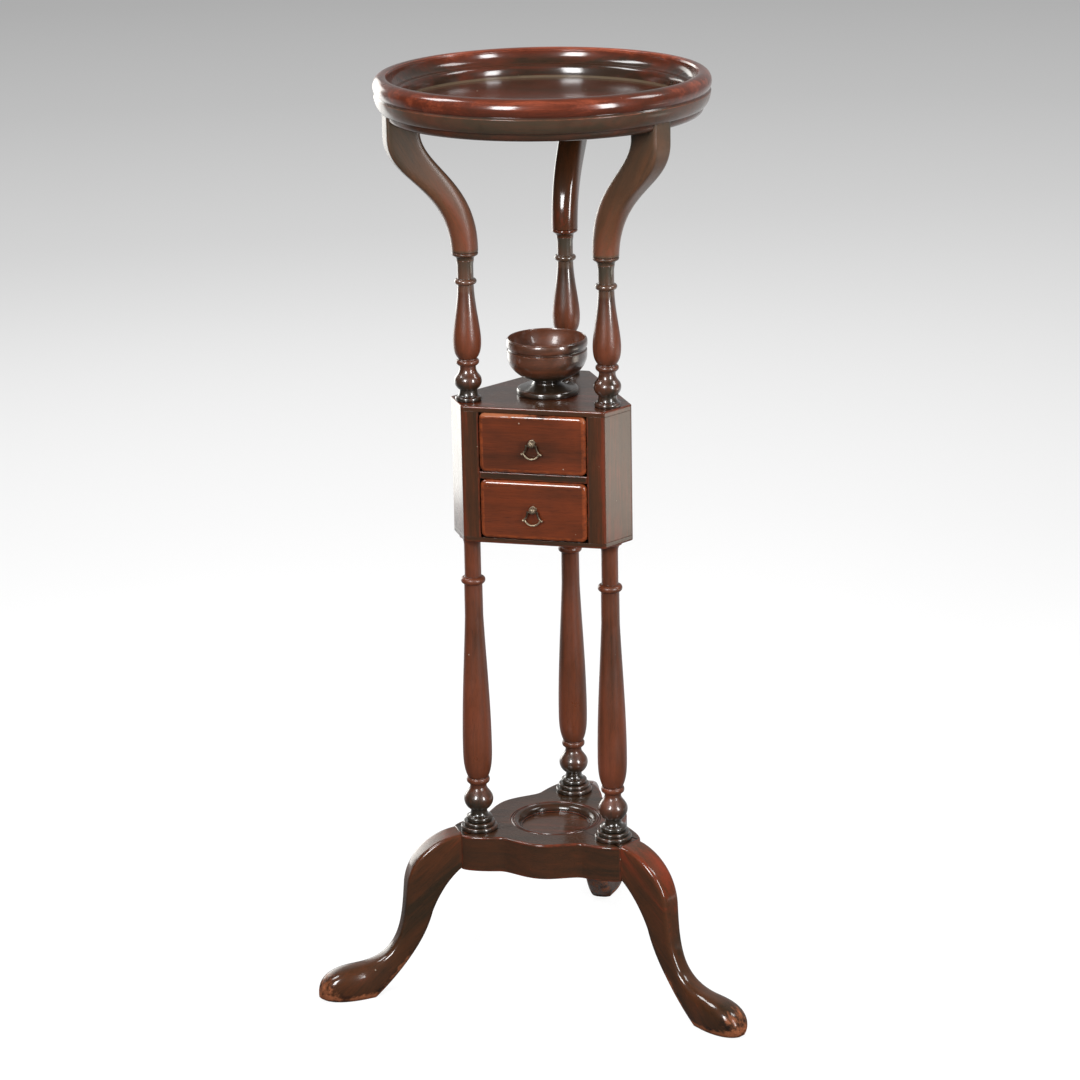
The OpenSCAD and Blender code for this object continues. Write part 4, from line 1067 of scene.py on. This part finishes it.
def make_bail(storey, ball_x, pivot_y, pivot_z):
    """Bail: pivot balls and pins, flaring arms with ball tips, and a crescent that thickens below."""
    parts = []
    for side in (-1, 1):
        pivot = (side * ball_x, pivot_y, pivot_z)
        parts.append(ball(pivot, BALL_R))
        parts.append(tube([(side * (ball_x - BALL_R - PIN_L), pivot_y, pivot_z), pivot], [PIN_R] * 2))
        path = [(side * (ball_x + BAIL_ARM_R * (1 - cos(a))), pivot_y, pivot_z - BAIL_ARM_R * sin(a))
                for a in linspace(0, radians(BAIL_ARM_TURN), 24)]
        parts.append(tube(path, linspace(BAIL_R + 0.1, BAIL_R - 0.12, len(path))))
        parts.append(ball(path[-1], BAIL_TIP_R))
    bow_z = pivot_z - BAIL_BOW_DROP
    arc = [radians(a) for a in linspace(270 - BAIL_BOW_SPAN / 2, 270 + BAIL_BOW_SPAN / 2, 41)]
    path = [(BAIL_BOW_R * cos(a), pivot_y, bow_z + BAIL_BOW_R * sin(a)) for a in arc]
    parts.append(tube(path, [BAIL_R - 0.25 + 0.25 * sin(a - pi) for a in arc]))
    piece(f"{storey}_bail_drop", together(*parts), f"{storey}_bail", BRONZE,
          tone=lambda p: share((pivot_z - 3.5 - p[2]) / 3.5), body=f"{storey}_bail")


# The platform

def platform_outline(steps=30):
    s60, c60 = sin(radians(60)), cos(radians(60))
    corner = array([ARM_R * s60 - LEG_W / 2 * c60, ARM_R * c60 + LEG_W / 2 * s60])
    waist = array([WAIST_V, WAIST_R])
    half = curve([corner, corner + (-7, 4), waist + (13, 3), waist], steps)
    half += curve([waist, waist + (-9, -2), (16, BOW_R), (0, BOW_R)], steps)
    side = half + [(0, BOW_R)] + [(-p[0], p[1]) for p in reversed(half)]
    return [array(turned((p[1], -p[0]), angle)) for angle in (FRONT, RIGHT_SIDE, LEFT_SIDE)
            for p in side]


def recess_profile():
    """The scribed beads and the dished recess, as (radius, height below the top) points."""
    beads = [(2.5, 0), (0.5, 0), (0, -0.8), (-0.3, -0.5), (-0.9, 0), (-1.4, 0), (-1.9, -0.5), (-2.1, -0.8),
            (-2.5, 0)]
    points = [(SCRIBE_R + r, z) for r, z in beads]
    fillet_r, fillet_z = RECESS_FLOOR_R + 1.4, 1.3 - RECESS_DEPTH
    points += [(fillet_r + (RECESS_R - fillet_r) * (1 - cos(a)), fillet_z * (1 - sin(a)))
            for a in quarter(13)[::-1]]
    points += [(RECESS_FLOOR_R, fillet_z)]
    return points + [(r, -RECESS_DEPTH) for r in (RECESS_FLOOR_R, RECESS_FLOOR_R - 1, RECESS_FLOOR_R - 12, 2)]


def platform_tone(p):
    """Redder in the recess, and dark on its wall and beads, which is painted shade."""
    r = from_axis(p)
    if r < RECESS_FLOOR_R:
        return 0.5
    # The dark recess wall and inner beads are painted shade.
    return 0.05 if r < SCRIBE_R + 0.3 else 0.34


def make_platform():
    outline = platform_outline()
    n = len(outline)
    centre = array([0, AXIS_Y])
    normals = [facing(outline[(i + 1) % n] - outline[i - 1]) for i in range(n)]

    def drawn_in(inset, z):
        return [(*(outline[i] - normals[i] * inset), z) for i in range(n)]

    def circle(r, z):
        return [(*(centre + r * (p - centre) / norm(p - centre)), z) for p in outline]

    low, high, lower_edge, edge = PLATFORM_BASE, PLATFORM_Z, 0.6, 1.6
    rings = [circle(20, low), drawn_in(5, low), drawn_in(1.4, low)]
    rings += [drawn_in(lower_edge * (1 - sin(a)), low + lower_edge * (1 - cos(a))) for a in quarter(3)]
    rings += [drawn_in(0, low + 1.4), drawn_in(0, high - edge - 1)]
    rings += [drawn_in(edge * (1 - cos(a)), high - edge * (1 - sin(a))) for a in quarter(7)]
    rings += [drawn_in(edge + 0.9, high), drawn_in(edge + 3, high)]
    rings += [circle(r, high + z) for r, z in soften(recess_profile(), 0.25)]
    piece("shaped_platform", skin(rings), "platform", CASE, (1, 0.06, 0), platform_tone)


# What stays as imported

def finish_packed_nodes():
    """Gives the drawer linings, the dustboard, the stops and the nuts their finishes."""
    for name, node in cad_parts.items():
        if not node.hide_render:
            finish = BRONZE if name.endswith("_nut") else LINING
            node.data.materials.clear()
            node.data.materials.append(finish[0])


# Studio

CAMERA_AZIMUTH = 14.425
CAMERA_PITCH = 17.051
CAMERA_ROLL = -1.12
CAMERA_AT = (-9.1, -2814.3, 1267.2)
FOCAL_PIXELS = 3399.4
FRAME_PIXELS = 1080
SENSOR = 36.0
FLOOR_R = 9.0
# Greys of the floor from its middle to its rim, by the share of its radius
FLOOR_GREYS = [(0.0, 255), (0.085, 253), (0.165, 241), (0.30, 224), (0.52, 198), (0.70, 182), (1.0, 166)]
FLOOR_GLOW = 0.88
FLOOR_MATT = 0.16
ROOM_GREY = rgb(172, 172, 172)
ROOM_LIGHT = 0.08
ROOM_MIRRORED = 0.75


def seen_from_camera(right, ahead, up):
    """Point in metres, along the camera's right and ahead directions from the stand's axis."""
    c, s = cos(radians(CAMERA_AZIMUTH)), sin(radians(CAMERA_AZIMUTH))
    return Vector((right * c - ahead * s, right * s + ahead * c + AXIS_Y * MM, up))


def make_camera():
    data = bpy.data.cameras.new("camera")
    data.sensor_width = SENSOR
    data.lens = FOCAL_PIXELS / FRAME_PIXELS * SENSOR
    data.clip_end = 50
    cam = placed("camera", data)
    a, p, r = (radians(x) for x in (CAMERA_AZIMUTH, CAMERA_PITCH, CAMERA_ROLL))
    ahead = Vector((-sin(a) * cos(p), cos(a) * cos(p), -sin(p)))
    right = Vector((cos(a), sin(a), 0))
    down = ahead.cross(right)
    x = right * cos(r) - down * sin(r)
    y = -(right * sin(r) + down * cos(r))
    place = seen_from_camera(*(c * MM for c in CAMERA_AT))
    rows = [(x[i], y[i], -ahead[i], place[i]) for i in range(3)]
    cam.matrix_world = Matrix((*rows, (0, 0, 0, 1)))
    bpy.context.scene.camera = cam


def softbox(name, right, ahead, up, width, height, power, aim=0.45, spread=180, colour=(1, 1, 1),
        mirrored=True):
    """Rectangular studio lamp that looks at the stand's middle."""
    data = bpy.data.lights.new(name, "AREA")
    data.shape = "RECTANGLE"
    data.size, data.size_y = width, height
    data.energy = power
    data.spread = radians(spread)
    data.color = colour
    lamp = placed(name, data)
    lamp.location = seen_from_camera(right, ahead, up)
    lamp.rotation_mode = "QUATERNION"
    target = Vector((0, AXIS_Y * MM, aim))
    lamp.rotation_quaternion = (target - lamp.location).to_track_quat("-Z", "Y")
    lamp.visible_camera = False
    lamp.visible_glossy = mirrored


def make_floor():
    """Pale floor that darkens with distance, bright to the camera and mirrored behind the stand."""
    bm = bmesh.new()
    bmesh.ops.create_circle(bm, cap_ends=True, segments=96, radius=FLOOR_R)
    mesh = bpy.data.meshes.new("studio_floor")
    bm.to_mesh(mesh)
    bm.free()
    floor = placed("studio_floor", mesh)
    floor.location = (0, AXIS_Y * MM, 0)

    material = bpy.data.materials.new("studio_floor")
    mesh.materials.append(material)
    t = Tree(material)
    place = t.place()
    reach = t.add("VectorMath", {0: place}, operation="LENGTH").outputs["Value"]
    ramp = t.add("ValToRGB", {0: t.math("DIVIDE", reach, FLOOR_R)})
    elements = ramp.color_ramp.elements
    elements.remove(elements[1])
    for i, (at, grey) in enumerate(FLOOR_GREYS):
        element = elements.new(at) if i else elements[0]
        element.position = at
        element.color = rgb(grey, grey, grey)
    to_camera, mirrored = t.ray_kinds()
    seen = t.most(to_camera, t.times(mirrored, t.along_y(place, 0.0, 1.0, 0.05, 1.0)))
    glow = t.add("Emission", {"Color": ramp.outputs["Color"], "Strength": t.times(seen, FLOOR_GLOW)})
    matt = t.add("BsdfDiffuse", {"Color": t.less(FLOOR_MATT, t.times(mirrored, 0.13))})
    both = t.add("AddShader", {0: glow.outputs[0], 1: matt.outputs[0]})
    t.fill(t.output, {0: both.outputs[0]})


def make_world():
    """Even grey room, which reflections show as the pale backdrop behind the stand."""
    world = bpy.data.worlds.new("studio")
    bpy.context.scene.world = world
    t = Tree(world, "OutputWorld")
    to_camera, mirrored = t.ray_kinds()
    behind = t.times(mirrored, t.along_y(t.place("Generated"), 0.1, 0.8))
    light = t.plus(t.times(behind, ROOM_MIRRORED), ROOM_LIGHT)
    room = t.add("Background", {"Color": ROOM_GREY, "Strength": t.most(to_camera, light)})
    t.fill(t.output, {0: room.outputs[0]})


def make_studio():
    make_camera()
    make_floor()
    make_world()
    softbox("key_left", -1.05, -2.1, 1.6, 0.62, 1.15, 54, 0.6)
    softbox("key_right", 1.7, -1.85, 1.15, 0.5, 1.5, 48, 0.6)
    softbox("high_left", -1.55, 0.1, 2.4, 0.6, 0.8, 20)
    softbox("high_right", 1.6, -0.1, 2.1, 0.5, 0.7, 10)
    softbox("panel_left", -0.72, 1.15, 0.6, 0.7, 1.1, 1.2, 0.55, 60, (1, 0.99, 0.94))
    softbox("panel_right", 1.4, 0.0, 0.12, 0.9, 0.24, 0.06, 0.52, 30, (1, 0.93, 0.80))
    softbox("top", 0.2, -0.7, 2.8, 2.4, 2.4, 48, mirrored=False)
    softbox("back", -0.5, 2.3, 1.7, 1.8, 1.4, 26, mirrored=False)
    bpy.context.scene.view_settings.view_transform = "Standard"


make_ring()
make_brackets()
make_posts()
make_bowl()
make_cabinet()
make_drawers()
make_pulls()
make_platform()
make_legs()
finish_packed_nodes()
make_studio()
